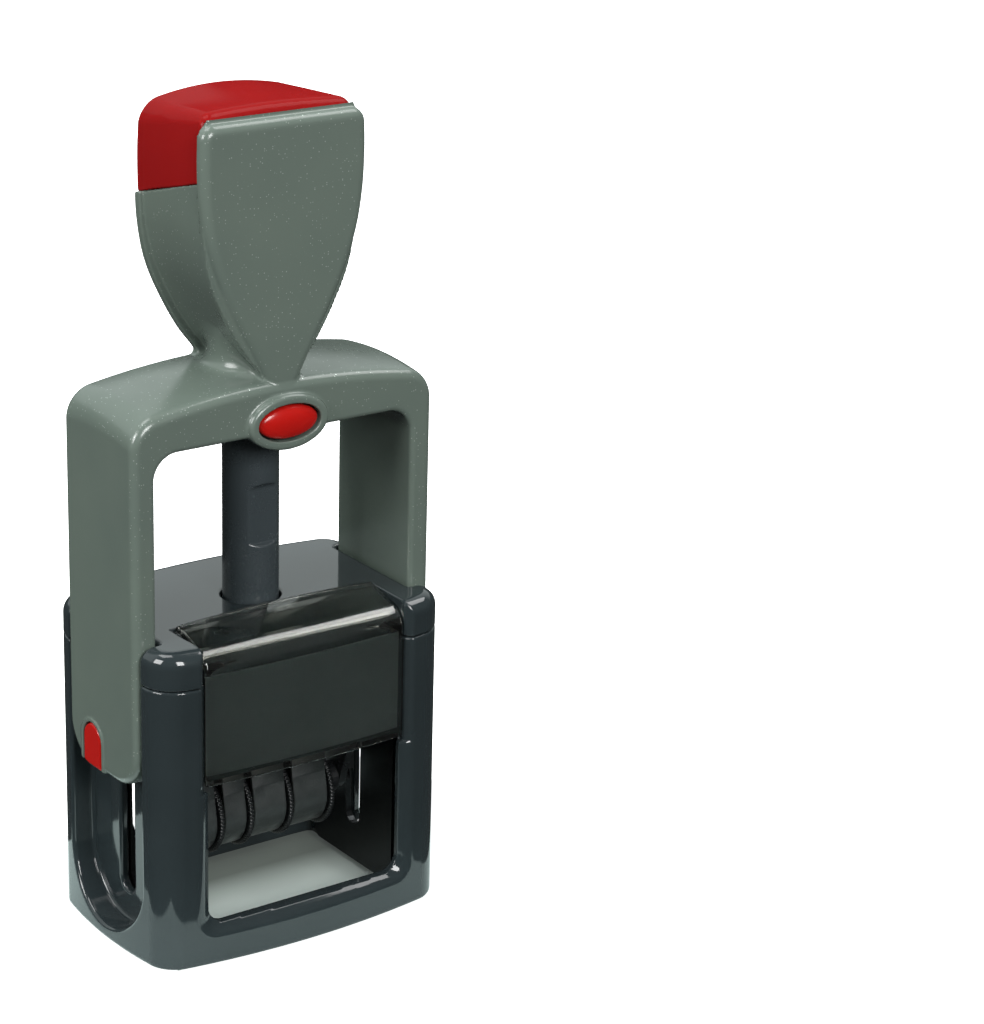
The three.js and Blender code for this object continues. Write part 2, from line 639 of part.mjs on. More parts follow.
function dieOutline(inset) {
  return roundedRectangle(-DIE_HALF_WIDTH + inset, DIE_HALF_WIDTH - inset,
    -DIE_HALF_DEPTH + inset, DIE_HALF_DEPTH - inset, 2 - inset, true, 3);
}

function makeTextPlate() {
  return alongZ(dieOutline(0), 48.6, 50.4).subtract(dateWindow(40, 60));
}

// rubber sheet with a raised border and raised bars in the place of lines of text
function makeTextDie() {
  const faceZ = AXLE_Z + DIE_RADIUS;
  let die = alongZ(dieOutline(0), 50.7, 51.3);
  const border = alongZ(dieOutline(0.3), 51.2, faceZ).subtract(alongZ(dieOutline(1.2), 50, 60));
  die = die.add(border);
  for (const y of [-10, -7, 7, 10]) {
    const half = Math.abs(y) > 8 ? 16 : 11;
    die = die.add(block(-half, half, y - 0.7, y + 0.7, 51.2, faceZ));
  }
  return die.subtract(dateWindow(40, 60));
}

function makeBandBridge() {
  const noseRadius = BAND_NOSE_RADIUS - GAP;
  const section = [point(-2.4, 42), point(2.4, 42), ...arc(0, BAND_NOSE_Z, noseRadius, 0, 180, 8)];
  const foot = block(-ARM_X + GAP, ARM_X - GAP, -2.4, 2.4, 42, 45.6);
  return alongX(section, DATE_WINDOW.left + GAP, DATE_WINDOW.right - GAP).add(foot);
}

// loop round the wheel drum and the nose of the bridge, section (y, z)
function loopSection(noseRadius, drumRadius) {
  const slope = Math.asin((drumRadius - noseRadius) / (BAND_NOSE_Z - WHEEL_Z));
  const lean = THREE.MathUtils.radToDeg(slope);
  return [
    ...arc(0, BAND_NOSE_Z, noseRadius, lean, 180 - lean, 6),
    ...arc(0, WHEEL_Z, drumRadius, 180 - lean, 360 + lean, 18),
  ];
}

function makeBand(from, to) {
  const noseOuter = BAND_NOSE_RADIUS + BAND_THICKNESS;
  const drumInner = DRUM_RADIUS + GAP;
  const outer = alongX(loopSection(noseOuter, drumInner + BAND_THICKNESS), from, to);
  const inner = alongX(loopSection(BAND_NOSE_RADIUS, drumInner), from - 1, to + 1);
  const figure = block(from + 0.6, to - 0.6, -1.7, 1.7,
    BAND_NOSE_Z + noseOuter - 0.7, AXLE_Z + DIE_RADIUS);
  return outer.add(figure).subtract(inner);
}

function toothedOutline() {
  const points = [];
  for (let i = 0; i < FLANGE_TEETH * 2; i += 1) {
    const radius = FLANGE_RADIUS - (i % 2) * TOOTH_DEPTH;
    const angle = Math.PI * i / FLANGE_TEETH;
    points.push(point(radius * Math.cos(angle), WHEEL_Z + radius * Math.sin(angle)));
  }
  return points;
}

function makeWheel(from, to) {
  return alongX(toothedOutline(), to - FLANGE_WIDTH, to)
    .add(bar('x', DRUM_RADIUS, from, to - FLANGE_WIDTH / 2, 0, WHEEL_Z, 24))
    .subtract(bar('x', WHEEL_BORE, from - 1, to + 1, 0, WHEEL_Z, 16));
}

// ---------------------------------------------------------------- ink pad
function makeTray() {
  const gripHeight = [TRAY_RAIL_Z + GAP, SEAM_Z - GAP];
  const plate = block(-TRAY_HALF_WIDTH, TRAY_HALF_WIDTH, -16.5, 19, TRAY_TOP_Z - 1, TRAY_TOP_Z);
  const grip = alongZ(baseOutline(0), ...gripHeight)
    .intersect(block(-TRAY_HALF_WIDTH, TRAY_HALF_WIDTH, 18.8, FAR, ...gripHeight));
  let tray = plate.add(grip);
  for (const y of [-16.5, 15.3]) {
    tray = tray.add(block(-TRAY_HALF_WIDTH, TRAY_HALF_WIDTH, y, y + 1.2,
      PAD_FACE_Z + 0.5, TRAY_TOP_Z - 0.5));
  }
  for (const { sign } of SIDES) {
    const rim = onSide(sign, TRAY_HALF_WIDTH - 1.2, TRAY_HALF_WIDTH,
      (x0, x1) => block(x0, x1, -16.5, 19, TRAY_RAIL_Z + GAP, TRAY_TOP_Z - 0.5));
    tray = tray.add(rim);
  }
  return tray;
}

// ---------------------------------------------------------------- assembly
addPiece('lower_frame', makeLowerFrame(), darkCasing);
addPiece('top_cover', makeTopCover(), darkCasing);
addPiece('front_cover', makeClearCover(), clearPlastic);
addPiece('index_card', makeIndexCard(), cardBlack);
addPiece('guide_column', makeColumn(), darkCasing);
addPiece('handle_frame', makeHandleFrame(), greyFleck);
addPiece('handle_cap', makeCap(), redPlastic);
addPiece('spring_guide', makeSpringGuide(), blackPlastic);
addPiece('lock_button', makeLockButton(), redPlastic);
addPiece('swivel_frame', makeSwivelFrame(), blackPlastic);
addPiece('text_plate', makeTextPlate(), blackPlastic);
addPiece('text_die', makeTextDie(), rubber);
addPiece('band_bridge', makeBandBridge(), blackPlastic);
addPiece('wheel_axle',
  bar('x', WHEEL_AXLE_RADIUS, -WHEEL_AXLE_HALF, WHEEL_AXLE_HALF, 0, WHEEL_Z), steel);
addPiece('axle_spacer', bar('x', 3.2, 14.9, ARM_X - GAP, 0, WHEEL_Z)
  .subtract(bar('x', WHEEL_BORE, 0, 30, 0, WHEEL_Z, 16)), blackPlastic);
addPiece('ink_pad_tray', makeTray(), blackPlastic);
addPiece('ink_pad', block(-PAD_HALF_WIDTH, PAD_HALF_WIDTH, -PAD_HALF_DEPTH, PAD_HALF_DEPTH,
  PAD_FACE_Z, TRAY_TOP_Z - 1 - GAP), inkFoam);

for (const { name, sign } of SIDES) {
  const barAcross = (radius, inner, outer, z) => onSide(sign, inner, outer,
    (x0, x1) => bar('x', radius, x0, x1, 0, z));
  addPiece(`leg_insert_${name}`, makeLegInsert(sign), redPlastic);
  addPiece(`axle_pin_${name}`, barAcross(AXLE_PIN_RADIUS, ARM_X + GAP, 30.4, AXLE_Z), steel);
  addPiece(`cam_pin_${name}`, barAcross(CAM_PIN_RADIUS, ARM_X + GAP,
    CAM_PLATE_X + CAM_GROOVE_DEPTH - GAP, AXLE_Z - CAM_PIN_REACH), steel);
  addPiece(`cam_plate_${name}`, makeCamPlate(sign), steel);
  addPiece(`wheel_clip_${name}`, onSide(sign, ARM_X + ARM_THICKNESS + GAP, 22.5,
    (x0, x1) => block(x0, x1, -3.2, 3.2, WHEEL_Z + 2.1, WHEEL_Z + 6.5)), steel);
  addPiece(`column_screw_${name}`, makeColumnScrew(sign), steel);
}

for (const { name, from, to } of WHEELS) {
  addPiece(`wheel_${name}`, makeWheel(from, to), blackPlastic);
  addPiece(`band_${name}`, makeBand(from + GAP, to - FLANGE_WIDTH - GAP), rubber);
}

addGeometry('return_spring', coilSpring(3, 0.55, 84.2, 13, 8, 5).translate(0, 0, 61.3), steel);
addGeometry('button_spring', coilSpring(2.3, 0.25, 4.3, 4, 8, 5)
  .rotateX(-Math.PI / 2).translate(0, BUTTON_BACK_Y + 0.2, BUTTON_Z), steel);

export default stamp;
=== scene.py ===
import math
import bpy
import numpy as np
from mathutils import Matrix, Vector


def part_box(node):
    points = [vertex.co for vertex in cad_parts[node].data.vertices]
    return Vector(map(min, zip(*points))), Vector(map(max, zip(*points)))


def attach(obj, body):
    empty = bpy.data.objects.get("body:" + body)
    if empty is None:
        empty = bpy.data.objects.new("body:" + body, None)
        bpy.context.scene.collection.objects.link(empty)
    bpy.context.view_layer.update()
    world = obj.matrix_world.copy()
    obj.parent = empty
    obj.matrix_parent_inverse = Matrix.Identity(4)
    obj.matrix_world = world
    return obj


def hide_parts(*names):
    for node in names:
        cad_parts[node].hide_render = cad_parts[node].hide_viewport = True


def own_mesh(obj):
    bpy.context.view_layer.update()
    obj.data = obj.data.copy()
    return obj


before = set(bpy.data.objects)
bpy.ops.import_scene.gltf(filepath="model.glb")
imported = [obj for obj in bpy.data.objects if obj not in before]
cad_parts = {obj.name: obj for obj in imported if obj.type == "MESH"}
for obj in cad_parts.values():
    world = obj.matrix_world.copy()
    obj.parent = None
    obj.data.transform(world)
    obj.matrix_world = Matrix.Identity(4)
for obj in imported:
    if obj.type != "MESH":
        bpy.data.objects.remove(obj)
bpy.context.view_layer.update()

MM = 0.001
SHARP = math.radians(40)

# ------------------------------------------------------------------ camera
scene = bpy.context.scene
scene.view_settings.view_transform = "Standard"
scene.view_settings.look = "None"

CAMERA_PLACE = (-300.67, -483.74, 286.95)
CAMERA_FORWARD = Vector((0.56022546, 0.75618262, -0.33813501)).normalized()
CAMERA_ROLL = math.radians(1.587)
camera_data = bpy.data.cameras.new("camera")
camera_data.sensor_width = 36
camera_data.lens = 110.457
camera_data.clip_start = 0.02
camera_data.clip_end = 30
camera = bpy.data.objects.new("camera", camera_data)
scene.collection.objects.link(camera)
level = CAMERA_FORWARD.cross(Vector((0, 0, 1))).normalized()
upright = level.cross(CAMERA_FORWARD)
right = level * math.cos(CAMERA_ROLL) + upright * math.sin(CAMERA_ROLL)
up = right.cross(CAMERA_FORWARD)
camera.matrix_world = Matrix.Translation(Vector(CAMERA_PLACE) * MM) @ Matrix(
    (right, up, -CAMERA_FORWARD)).transposed().to_4x4()
scene.camera = camera


# ------------------------------------------------------------------ materials
def linear(red, green, blue):
    """Linear colour of an sRGB one given from 0 to 255."""
    parts = []
    for v in (red, green, blue):
        v /= 255
        parts.append(v / 12.92 if v <= 0.04045 else ((v + 0.055) / 1.055) ** 2.4)
    return (*parts, 1)


class Material:
    """Node material that starts from a Principled shader with its numbers set on the sockets."""

    def __init__(self, name, **sockets):
        self.data = bpy.data.materials.new(name)
        self.data.use_nodes = True
        self.nodes = self.data.node_tree.nodes
        self.links = self.data.node_tree.links
        self.shader = self.nodes["Principled BSDF"]
        for key, value in sockets.items():
            self.shader.inputs[key.replace("_", " ")].default_value = value

    def node(self, kind, inputs=(), **settings):
        made = self.nodes.new("ShaderNode" + kind)
        for key, value in settings.items():
            setattr(made, key, value)
        for key, value in dict(inputs).items():
            if isinstance(value, bpy.types.NodeSocket):
                self.links.new(value, made.inputs[key])
            else:
                made.inputs[key].default_value = value
        return made

    def place(self):
        return self.node("TexCoord").outputs["Object"]

    def noise(self, scale, detail=3.0, roughness=0.5):
        made = self.node("TexNoise", {"Vector": self.place(), "Scale": scale, "Detail": detail,
                                      "Roughness": roughness})
        return made.outputs["Fac"]

    def spread(self, source, low, high, to_low, to_high):
        made = self.node("MapRange", {"Value": source, "From Min": low, "From Max": high,
                                      "To Min": to_low, "To Max": to_high})
        return made.outputs["Result"]

    def blend(self, factor, first, second):
        made = self.node("Mix", data_type="RGBA")
        for socket, value in ((made.inputs[0], factor), (made.inputs[6], first),
                              (made.inputs[7], second)):
            if isinstance(value, bpy.types.NodeSocket):
                self.links.new(value, socket)
            else:
                socket.default_value = value
        return made.outputs[2]

    def feed(self, key, socket):
        self.links.new(socket, self.shader.inputs[key])

    def glow(self, colour, strength):
        self.shader.inputs["Emission Color"].default_value = colour
        self.shader.inputs["Emission Strength"].default_value = strength

    def bump(self, height, strength, distance):
        made = self.node("Bump", {"Height": height, "Strength": strength, "Distance": distance})
        self.links.new(made.outputs["Normal"], self.shader.inputs["Normal"])


def moulded(name, colour, darker, roughness, ripple=0.05, ripple_scale=900, **sockets):
    """Moulded plastic: slight drift of colour, handling marks in the gloss and a fine skin."""
    made = Material(name, **sockets)
    drift = made.spread(made.noise(70, 2), 0.3, 0.7, 0, 1)
    made.feed("Base Color", made.blend(drift, colour, darker))
    marks = made.noise(260, 5, 0.65)
    made.feed("Roughness", made.spread(marks, 0.35, 0.75, roughness * 0.8, roughness * 1.35))
    made.bump(made.noise(ripple_scale, 2), ripple, 0.0002)
    return made


GREY = linear(94, 105, 97)
GREY_DARK = linear(90, 101, 94)
SPECK = linear(186, 198, 190)


def fleck_plastic():
    made = Material("grey_fleck_plastic", IOR=1.48)
    drift = made.spread(made.noise(60, 2), 0.3, 0.7, 0, 1)
    base = made.blend(drift, GREY, GREY_DARK)
    cells = made.node("TexVoronoi", {"Vector": made.place(), "Scale": 2300.0})
    near = made.spread(cells.outputs["Distance"], 0.16, 0.3, 1, 0)
    chance = made.node("SeparateColor", {"Color": cells.outputs["Color"]}).outputs[0]
    chosen = made.spread(chance, 0.86, 0.96, 0, 1)
    speck = made.node("Math", {0: near, 1: chosen}, operation="MULTIPLY").outputs[0]
    made.feed("Base Color", made.blend(speck, base, SPECK))
    made.feed("Metallic", made.spread(speck, 0, 1, 0, 0.6))
    marks = made.noise(240, 5, 0.65)
    made.feed("Roughness", made.spread(marks, 0.35, 0.75, 0.2, 0.27))
    made.bump(made.noise(1100, 2), 0.05, 0.0002)
    return made


def steel(name, roughness=0.24, colour=(190, 195, 196)):
    made = Material(name, Metallic=1.0)
    lines = made.node("TexNoise", {"Vector": made.node("Mapping", {
        "Vector": made.place(), "Scale": (900, 9000, 9000)}).outputs[0], "Scale": 1.0, "Detail": 2.0})
    fine = lines.outputs["Fac"]
    made.feed("Base Color", made.blend(fine, linear(*colour), linear(*(v * 0.85 for v in colour))))
    made.feed("Roughness", made.spread(fine, 0.3, 0.7, roughness * 0.7, roughness * 1.5))
    made.bump(fine, 0.06, 0.0001)
    return made


grey = fleck_plastic()
casing = moulded("dark_casing_plastic", linear(39, 46, 48), linear(36, 43, 45), 0.08, 0.03, 700)
# painted light: this plastic is given a lighter colour than the casing to brighten the column, which
# stands in the handle's shade
column_dark = moulded("dark_column_plastic", linear(58, 65, 68), linear(53, 60, 63), 0.25)
inner_dark = moulded("dark_inner_plastic", linear(27, 30, 31), linear(23, 26, 27), 0.34)
red = moulded("red_cap_plastic", linear(130, 22, 22), linear(124, 20, 21), 0.16, 0.03, 800,
              Specular_IOR_Level=0.0, Subsurface_Weight=0.12, Subsurface_Scale=0.002,
              Coat_Weight=0.1, Coat_Roughness=0.06)
bright_red = moulded("red_button_plastic", linear(172, 22, 17), linear(164, 20, 16), 0.18, 0.03, 800,
                     Subsurface_Weight=0.15, Subsurface_Scale=0.0015, Specular_IOR_Level=0.4)
black = moulded("black_plastic", linear(21, 23, 24), linear(17, 19, 20), 0.3)
metal = steel("bright_steel")
dull_metal = steel("spring_steel", 0.3, (150, 154, 156))
dark_metal = steel("blackened_steel", 0.4, (52, 54, 55))


def make_rubber(name, colour, darker):
    made = moulded(name, colour, darker, 0.46, 0.2, 2600)
    made.shader.inputs["Specular IOR Level"].default_value = 0.6
    return made


rubber = make_rubber("date_band_rubber", linear(40, 45, 44), linear(33, 37, 37))
die_rubber = make_rubber("die_rubber", linear(96, 60, 52), linear(86, 53, 46))


def make_card():
    made = Material("printed_card", IOR=1.45, Specular_IOR_Level=0.12)
    grain = made.noise(2200, 6, 0.7)
    made.feed("Base Color", made.blend(grain, linear(55, 63, 65), linear(61, 70, 72)))
    made.feed("Roughness", made.spread(grain, 0.3, 0.7, 0.4, 0.55))
    made.bump(grain, 0.08, 0.0001)
    return made


def make_foam():
    made = Material("ink_foam", Roughness=0.85, Sheen_Weight=0.3)
    pores = made.node("TexVoronoi", {"Vector": made.place(), "Scale": 1800.0}).outputs["Distance"]
    wet = made.spread(made.noise(120, 3), 0.3, 0.7, 0, 1)
    made.feed("Base Color", made.blend(wet, linear(26, 30, 66), linear(20, 22, 44)))
    made.feed("Roughness", made.spread(wet, 0, 1, 0.7, 0.92))
    made.bump(pores, 0.6, 0.0003)
    return made


def make_clear():
    made = Material("clear_cover_plastic", Transmission_Weight=1.0, IOR=1.46)
    cast = made.spread(made.noise(90, 2), 0.3, 0.7, 0, 1)
    made.feed("Base Color", made.blend(cast, linear(250, 249, 242), linear(243, 243, 235)))
    made.feed("Roughness", made.spread(made.noise(300, 5, 0.7), 0.4, 0.8, 0.015, 0.06))
    made.bump(made.noise(420, 2), 0.04, 0.0002)
    return made


card = make_card()
foam = make_foam()
clear = make_clear()


# ------------------------------------------------------------------ floor and light
def rectangle(half_x, half_y):
    return [(-half_x, -half_y), (half_x, -half_y), (half_x, half_y), (-half_x, half_y)]


# painted shade: the paper below the stamp darkens from front to rear, between these places in metres
PAINTED_SHADE_START_Y, PAINTED_SHADE_END_Y = -0.009, 0.01
# the reflection of this sheet ends low on the posts
SHEET_CORNERS = [(-0.052, -0.041), (0.038, -0.041), (0.07, 0.045), (-0.06, 0.045)]


def add_stage(name, corners, z, material):
    mesh = bpy.data.meshes.new(name)
    mesh.from_pydata([(x, y, z) for x, y in corners], [], [(0, 1, 2, 3)])
    made = bpy.data.objects.new(name, mesh)
    scene.collection.objects.link(made)
    mesh.materials.append(material.data)
    return made


def make_floor():
    """Bright table, a pale sheet round the stamp that its glossy sides reflect, and the paper below it,
    which carries painted shade towards the rear and a faint painted glow.
    """
    table = Material("pale_floor", Roughness=0.8)
    grain = table.noise(40, 4)
    table.feed("Base Color", table.blend(grain, (0.9, 0.91, 0.91, 1), (0.93, 0.94, 0.94, 1)))
    table.glow((1, 1, 1, 1), 1.0)
    floor = add_stage("floor", rectangle(6.0, 6.0), -0.0006, table)
    floor.visible_glossy = False
    floor.visible_diffuse = False
    floor.visible_transmission = False
    sheet = Material("pale_sheet", Roughness=0.85)
    grain = sheet.noise(900, 4)
    sheet.feed("Base Color", sheet.blend(grain, (0.62, 0.76, 0.74, 1), (0.65, 0.79, 0.77, 1)))
    sheet.glow((0.86, 1, 0.97, 1), 0.12)
    around = add_stage("sheet_round_the_stamp", SHEET_CORNERS, -0.0003, sheet)
    around.visible_camera = False
    around.visible_transmission = False
    paper = Material("paper_below", Roughness=0.85)
    depth = paper.node("SeparateXYZ", {"Vector": paper.place()}).outputs[1]
    # painted shade: the paper's colour runs from pale at the front to near black at the rear, standing for
    # the shade inside the base
    painted_shade = paper.spread(depth, PAINTED_SHADE_START_Y, PAINTED_SHADE_END_Y, 0, 1)
    paper.feed("Base Color", paper.blend(painted_shade, (0.76, 0.86, 0.81, 1), (0.07, 0.085, 0.07, 1)))
    # painted light: a faint glow brightens the paper inside the base
    paper.glow((0.9, 1, 0.95, 1), 0.05)
    paper.bump(paper.noise(900, 4), 0.05, 0.0001)
    add_stage("paper_below_the_stamp", rectangle(0.0285, 0.0198), -0.0001, paper)


def add_lamp(name, place, target, size, power, colour=(1, 1, 1)):
    data = bpy.data.lights.new(name, "AREA")
    data.shape = "RECTANGLE"
    data.size, data.size_y = size
    data.energy = power
    data.color = colour
    lamp = bpy.data.objects.new(name, data)
    lamp.location = place
    aim = Vector(target) - Vector(place)
    lamp.rotation_euler = aim.to_track_quat("-Z", "Y").to_euler()
    scene.collection.objects.link(lamp)


# brightness of the room's lower and upper part, and the direction above which the pale wall starts
ROOM_LOW, ROOM_HIGH = 0.05, 0.13
WALL_LOW, WALL_BLUR, WALL_LEVEL = 0.235, 0.045, 0.92


def make_world():
    """Dim room with a pale wall behind and above. The camera itself sees plain white there."""
    world = bpy.data.worlds.new("studio")
    scene.world = world
    world.use_nodes = True
    nodes, links = world.node_tree.nodes, world.node_tree.links
    nodes.clear()
    out = nodes.new("ShaderNodeOutputWorld")
    background = nodes.new("ShaderNodeBackground")
    coords = nodes.new("ShaderNodeTexCoord")
    split = nodes.new("ShaderNodeSeparateXYZ")
    links.new(coords.outputs["Generated"], split.inputs[0])

    def step(socket, low, high, to_low, to_high):
        made = nodes.new("ShaderNodeMapRange")
        made.interpolation_type = "SMOOTHSTEP"
        links.new(socket, made.inputs["Value"])
        for key, value in (("From Min", low), ("From Max", high), ("To Min", to_low),
                           ("To Max", to_high)):
            made.inputs[key].default_value = value
        return made.outputs[0]

    def combine(kind, a, b):
        made = nodes.new("ShaderNodeMath")
        made.operation = kind
        links.new(a, made.inputs[0])
        links.new(b, made.inputs[1])
        return made.outputs[0]

    wall = combine("MULTIPLY", step(split.outputs[2], WALL_LOW, WALL_LOW + WALL_BLUR, 0, WALL_LEVEL),
                   step(split.outputs[1], -0.1, 0.4, 0, 1))
    room = step(split.outputs[2], -0.02, 0.3, ROOM_LOW, ROOM_HIGH)
    tint = nodes.new("ShaderNodeMix")
    tint.data_type = "RGBA"
    links.new(combine("ADD", wall, room), tint.inputs[0])
    tint.clamp_factor = False
    tint.inputs[6].default_value = (0, 0, 0, 1)
    tint.inputs[7].default_value = (0.92, 1.0, 0.99, 1)
    pale = nodes.new("ShaderNodeBackground")
    pale.inputs[0].default_value = (1, 1, 1, 1)
    links.new(tint.outputs[2], background.inputs[0])
    seen = nodes.new("ShaderNodeMixShader")
    links.new(nodes.new("ShaderNodeLightPath").outputs["Is Camera Ray"], seen.inputs[0])
    links.new(background.outputs[0], seen.inputs[1])
    links.new(pale.outputs[0], seen.inputs[2])
    links.new(seen.outputs[0], out.inputs[0])


make_floor()
make_world()
add_lamp("left_box", (-1.0, -0.12, 0.62), (0, 0, 0.08), (0.5, 0.5), 10.5)
add_lamp("front_box", (-0.12, -1.05, 0.62), (0, 0, 0.08), (0.5, 0.5), 13.5)
add_lamp("top_box", (0.62, -0.08, 1.0), (0, 0, 0.1), (0.55, 0.55), 5.5)
add_lamp("upper_left_box", (-0.25, 0.1, 1.1), (0, 0, 0.1), (0.5, 0.5), 4.5)


# ------------------------------------------------------------------ solids as distance fields
def length(*parts):
    return np.sqrt(sum(p * p for p in parts))


def join(a, b, r=0.0):
    """Union of two solids with a concave fillet of radius r between them."""
    if r <= 0:
        return np.minimum(a, b)
    return np.maximum(r, np.minimum(a, b)) - length(np.maximum(r - a, 0), np.maximum(r - b, 0))


def both(a, b, r=0.0):
    """Intersection of two solids with a rounded edge of radius r, which may vary from place to place."""
    if np.ndim(r) == 0 and r <= 0:
        return np.maximum(a, b)
    return np.minimum(-r, np.maximum(a, b)) + length(np.maximum(r + a, 0), np.maximum(r + b, 0))


def cut(a, b, r=0.0):
    return both(a, -b, r)


def between(a, low, high):
    return np.abs(a - (low + high) / 2) - (high - low) / 2


def disc(a, b, radius):
    """Round bar without ends, along the axis that is not given."""
    return length(a, b) - radius


def cuboid(x, y, z, low, high, r):
    sides = [between(a, lo, hi) for a, lo, hi in zip((x, y, z), low, high)]
    return both(both(sides[0], sides[1], r), sides[2], r)


def ellipse(a, b, half_a, half_b):
    """Distance to an ellipse, to first order."""
    k = length(a / half_a, b / half_b)
    slope = length(a / half_a ** 2, b / half_b ** 2)
    return k * (k - 1) / np.maximum(slope, 1e-9)


def curve(points):
    """Smooth function through (place, value) pairs, with its slope, extended by straight lines."""
    places = np.array([p[0] for p in points], float)
    values = np.array([p[1] for p in points], float)
    slopes = np.gradient(values, places)

    def at(t):
        clipped = np.clip(t, places[0], places[-1])
        i = np.clip(np.searchsorted(places, clipped) - 1, 0, len(places) - 2)
        gap = places[i + 1] - places[i]
        s = (clipped - places[i]) / gap
        v0, v1, m0, m1 = values[i], values[i + 1], slopes[i] * gap, slopes[i + 1] * gap
        value = ((2 * s ** 3 - 3 * s ** 2 + 1) * v0 + (s ** 3 - 2 * s ** 2 + s) * m0
                 + (3 * s ** 2 - 2 * s ** 3) * v1 + (s ** 3 - s ** 2) * m1)
        slope = ((6 * s ** 2 - 6 * s) * v0 + (3 * s ** 2 - 4 * s + 1) * m0
                 + (6 * s - 6 * s ** 2) * v1 + (3 * s ** 2 - 2 * s) * m1) / gap
        return value + (t - clipped) * slope, slope
    return at


def smooth_step(a, half):
    """Smooth step from 0 at a = -half to 1 at a = half."""
    t = np.clip(a / half * 0.5 + 0.5, 0, 1)
    return t * t * (3 - 2 * t)


def gradient(field, p, h):
    g = np.empty_like(p)
    for i in range(3):
        q = p.copy()
        q[:, i] += h
        ahead = field(q[:, 0], q[:, 1], q[:, 2])
        q[:, i] -= 2 * h
        g[:, i] = (ahead - field(q[:, 0], q[:, 1], q[:, 2])) / (2 * h)
    return g


def settle(field, p, cell, rounds):
    """Move points onto the surface, at most half a cell in each round."""
    for _ in range(rounds):
        value = field(p[:, 0], p[:, 1], p[:, 2])
        g = gradient(field, p, 0.08 * cell)
        square = np.maximum((g * g).sum(1), 0.25)
        step = np.clip(value / square, -0.5 * cell, 0.5 * cell)
        p = p - step[:, None] * g
    return p


def surface_net(field, low, high, cell):
    """Vertices (mm), quads and normals of the surface where field is zero."""
    low = np.array(low, float) - 1.5 * cell
    counts = np.ceil((np.array(high, float) + 1.5 * cell - low) / cell).astype(int) + 1
    axes = [low[i] + cell * np.arange(counts[i]) for i in range(3)]
    grid = field(axes[0][:, None, None], axes[1][None, :, None], axes[2][None, None, :])
    grid = np.ascontiguousarray(np.broadcast_to(grid, counts)).astype(np.float32)
    inside = grid < 0
    count = np.zeros(counts - 1, np.int8)
    corners = [(i, j, k) for i in (0, 1) for j in (0, 1) for k in (0, 1)]
    nx, ny, nz = counts - 1
    for i, j, k in corners:
        count += inside[i:i + nx, j:j + ny, k:k + nz]
    mixed = (count > 0) & (count < 8)
    cells = np.argwhere(mixed)
    number = np.full(counts - 1, -1, np.int64)
    number[mixed] = np.arange(len(cells))
    total = np.zeros((len(cells), 3))
    hits = np.zeros(len(cells))
    for a in corners:
        for axis in range(3):
            if a[axis]:
                continue
            b = list(a)
            b[axis] = 1
            at_a, at_b = cells + a, cells + b
            va = grid[at_a[:, 0], at_a[:, 1], at_a[:, 2]]
            vb = grid[at_b[:, 0], at_b[:, 1], at_b[:, 2]]
            crossing = (va < 0) != (vb < 0)
            t = np.where(crossing, va / np.where(crossing, va - vb, 1), 0)
            place = np.array(a, float)[None, :].repeat(len(cells), 0)
            place[:, axis] = t
            total += place * crossing[:, None]
            hits += crossing
    p = low + cell * (cells + total / hits[:, None])
    quads = []
    for axis in range(3):
        u, v = (axis + 1) % 3, (axis + 2) % 3
        first = [slice(1, -1)] * 3
        second = [slice(1, -1)] * 3
        first[axis], second[axis] = slice(0, -1), slice(1, None)
        a, b = inside[tuple(first)], inside[tuple(second)]
        for chosen, turned in ((a & ~b, False), (~a & b, True)):
            at = np.argwhere(chosen)
            at[:, u] += 1
            at[:, v] += 1
            ring = []
            for du, dv in ((-1, -1), (0, -1), (0, 0), (-1, 0)):
                spot = at.copy()
                spot[:, u] += du
                spot[:, v] += dv
                ring.append(number[spot[:, 0], spot[:, 1], spot[:, 2]])
            quad = np.stack(ring[::-1] if turned else ring, 1)
            quads.append(quad)
    quads = np.concatenate(quads)
    p = settle(field, p, cell, 2)
    edges = np.concatenate([quads[:, [0, 1]], quads[:, [1, 2]], quads[:, [2, 3]], quads[:, [3, 0]]])
    for _ in range(2):
        near = np.zeros_like(p)
        weight = np.bincount(edges.ravel(), minlength=len(p))
        for i in range(3):
            near[:, i] = (np.bincount(edges[:, 0], p[edges[:, 1], i], len(p))
                          + np.bincount(edges[:, 1], p[edges[:, 0], i], len(p)))
        p = p + 0.5 * (near / weight[:, None] - p)
        p = settle(field, p, cell, 1)
    p = settle(field, p, cell, 1)
    g = gradient(field, p, 0.12 * cell)
    return p, quads, g / np.maximum(np.linalg.norm(g, axis=1), 1e-9)[:, None]


def add_mesh(name, points, faces, material, body, node_name, normals=None):
    """Piece from points in mm. It rides on body and stands for the CAD node named."""
    mesh = bpy.data.meshes.new(name)
    points = np.asarray(points, float) * MM
    mesh.from_pydata(points.tolist(), [], faces)
    mesh.materials.append(material.data)
    mesh.shade_smooth()
    if normals is not None:
        mesh.normals_split_custom_set_from_vertices(normals.tolist())
    made = bpy.data.objects.new(name, mesh)
    scene.collection.objects.link(made)
    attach(made, body)
    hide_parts(node_name)
    return made


def add_solid(name, field, box, cell, material, body, node_name):
    """Piece from a distance field over a box given as (low corner, high corner), in mm."""
    points, quads, normals = surface_net(field, box[0], box[1], cell)
    return add_mesh(name, points, quads.tolist(), material, body, node_name, normals)


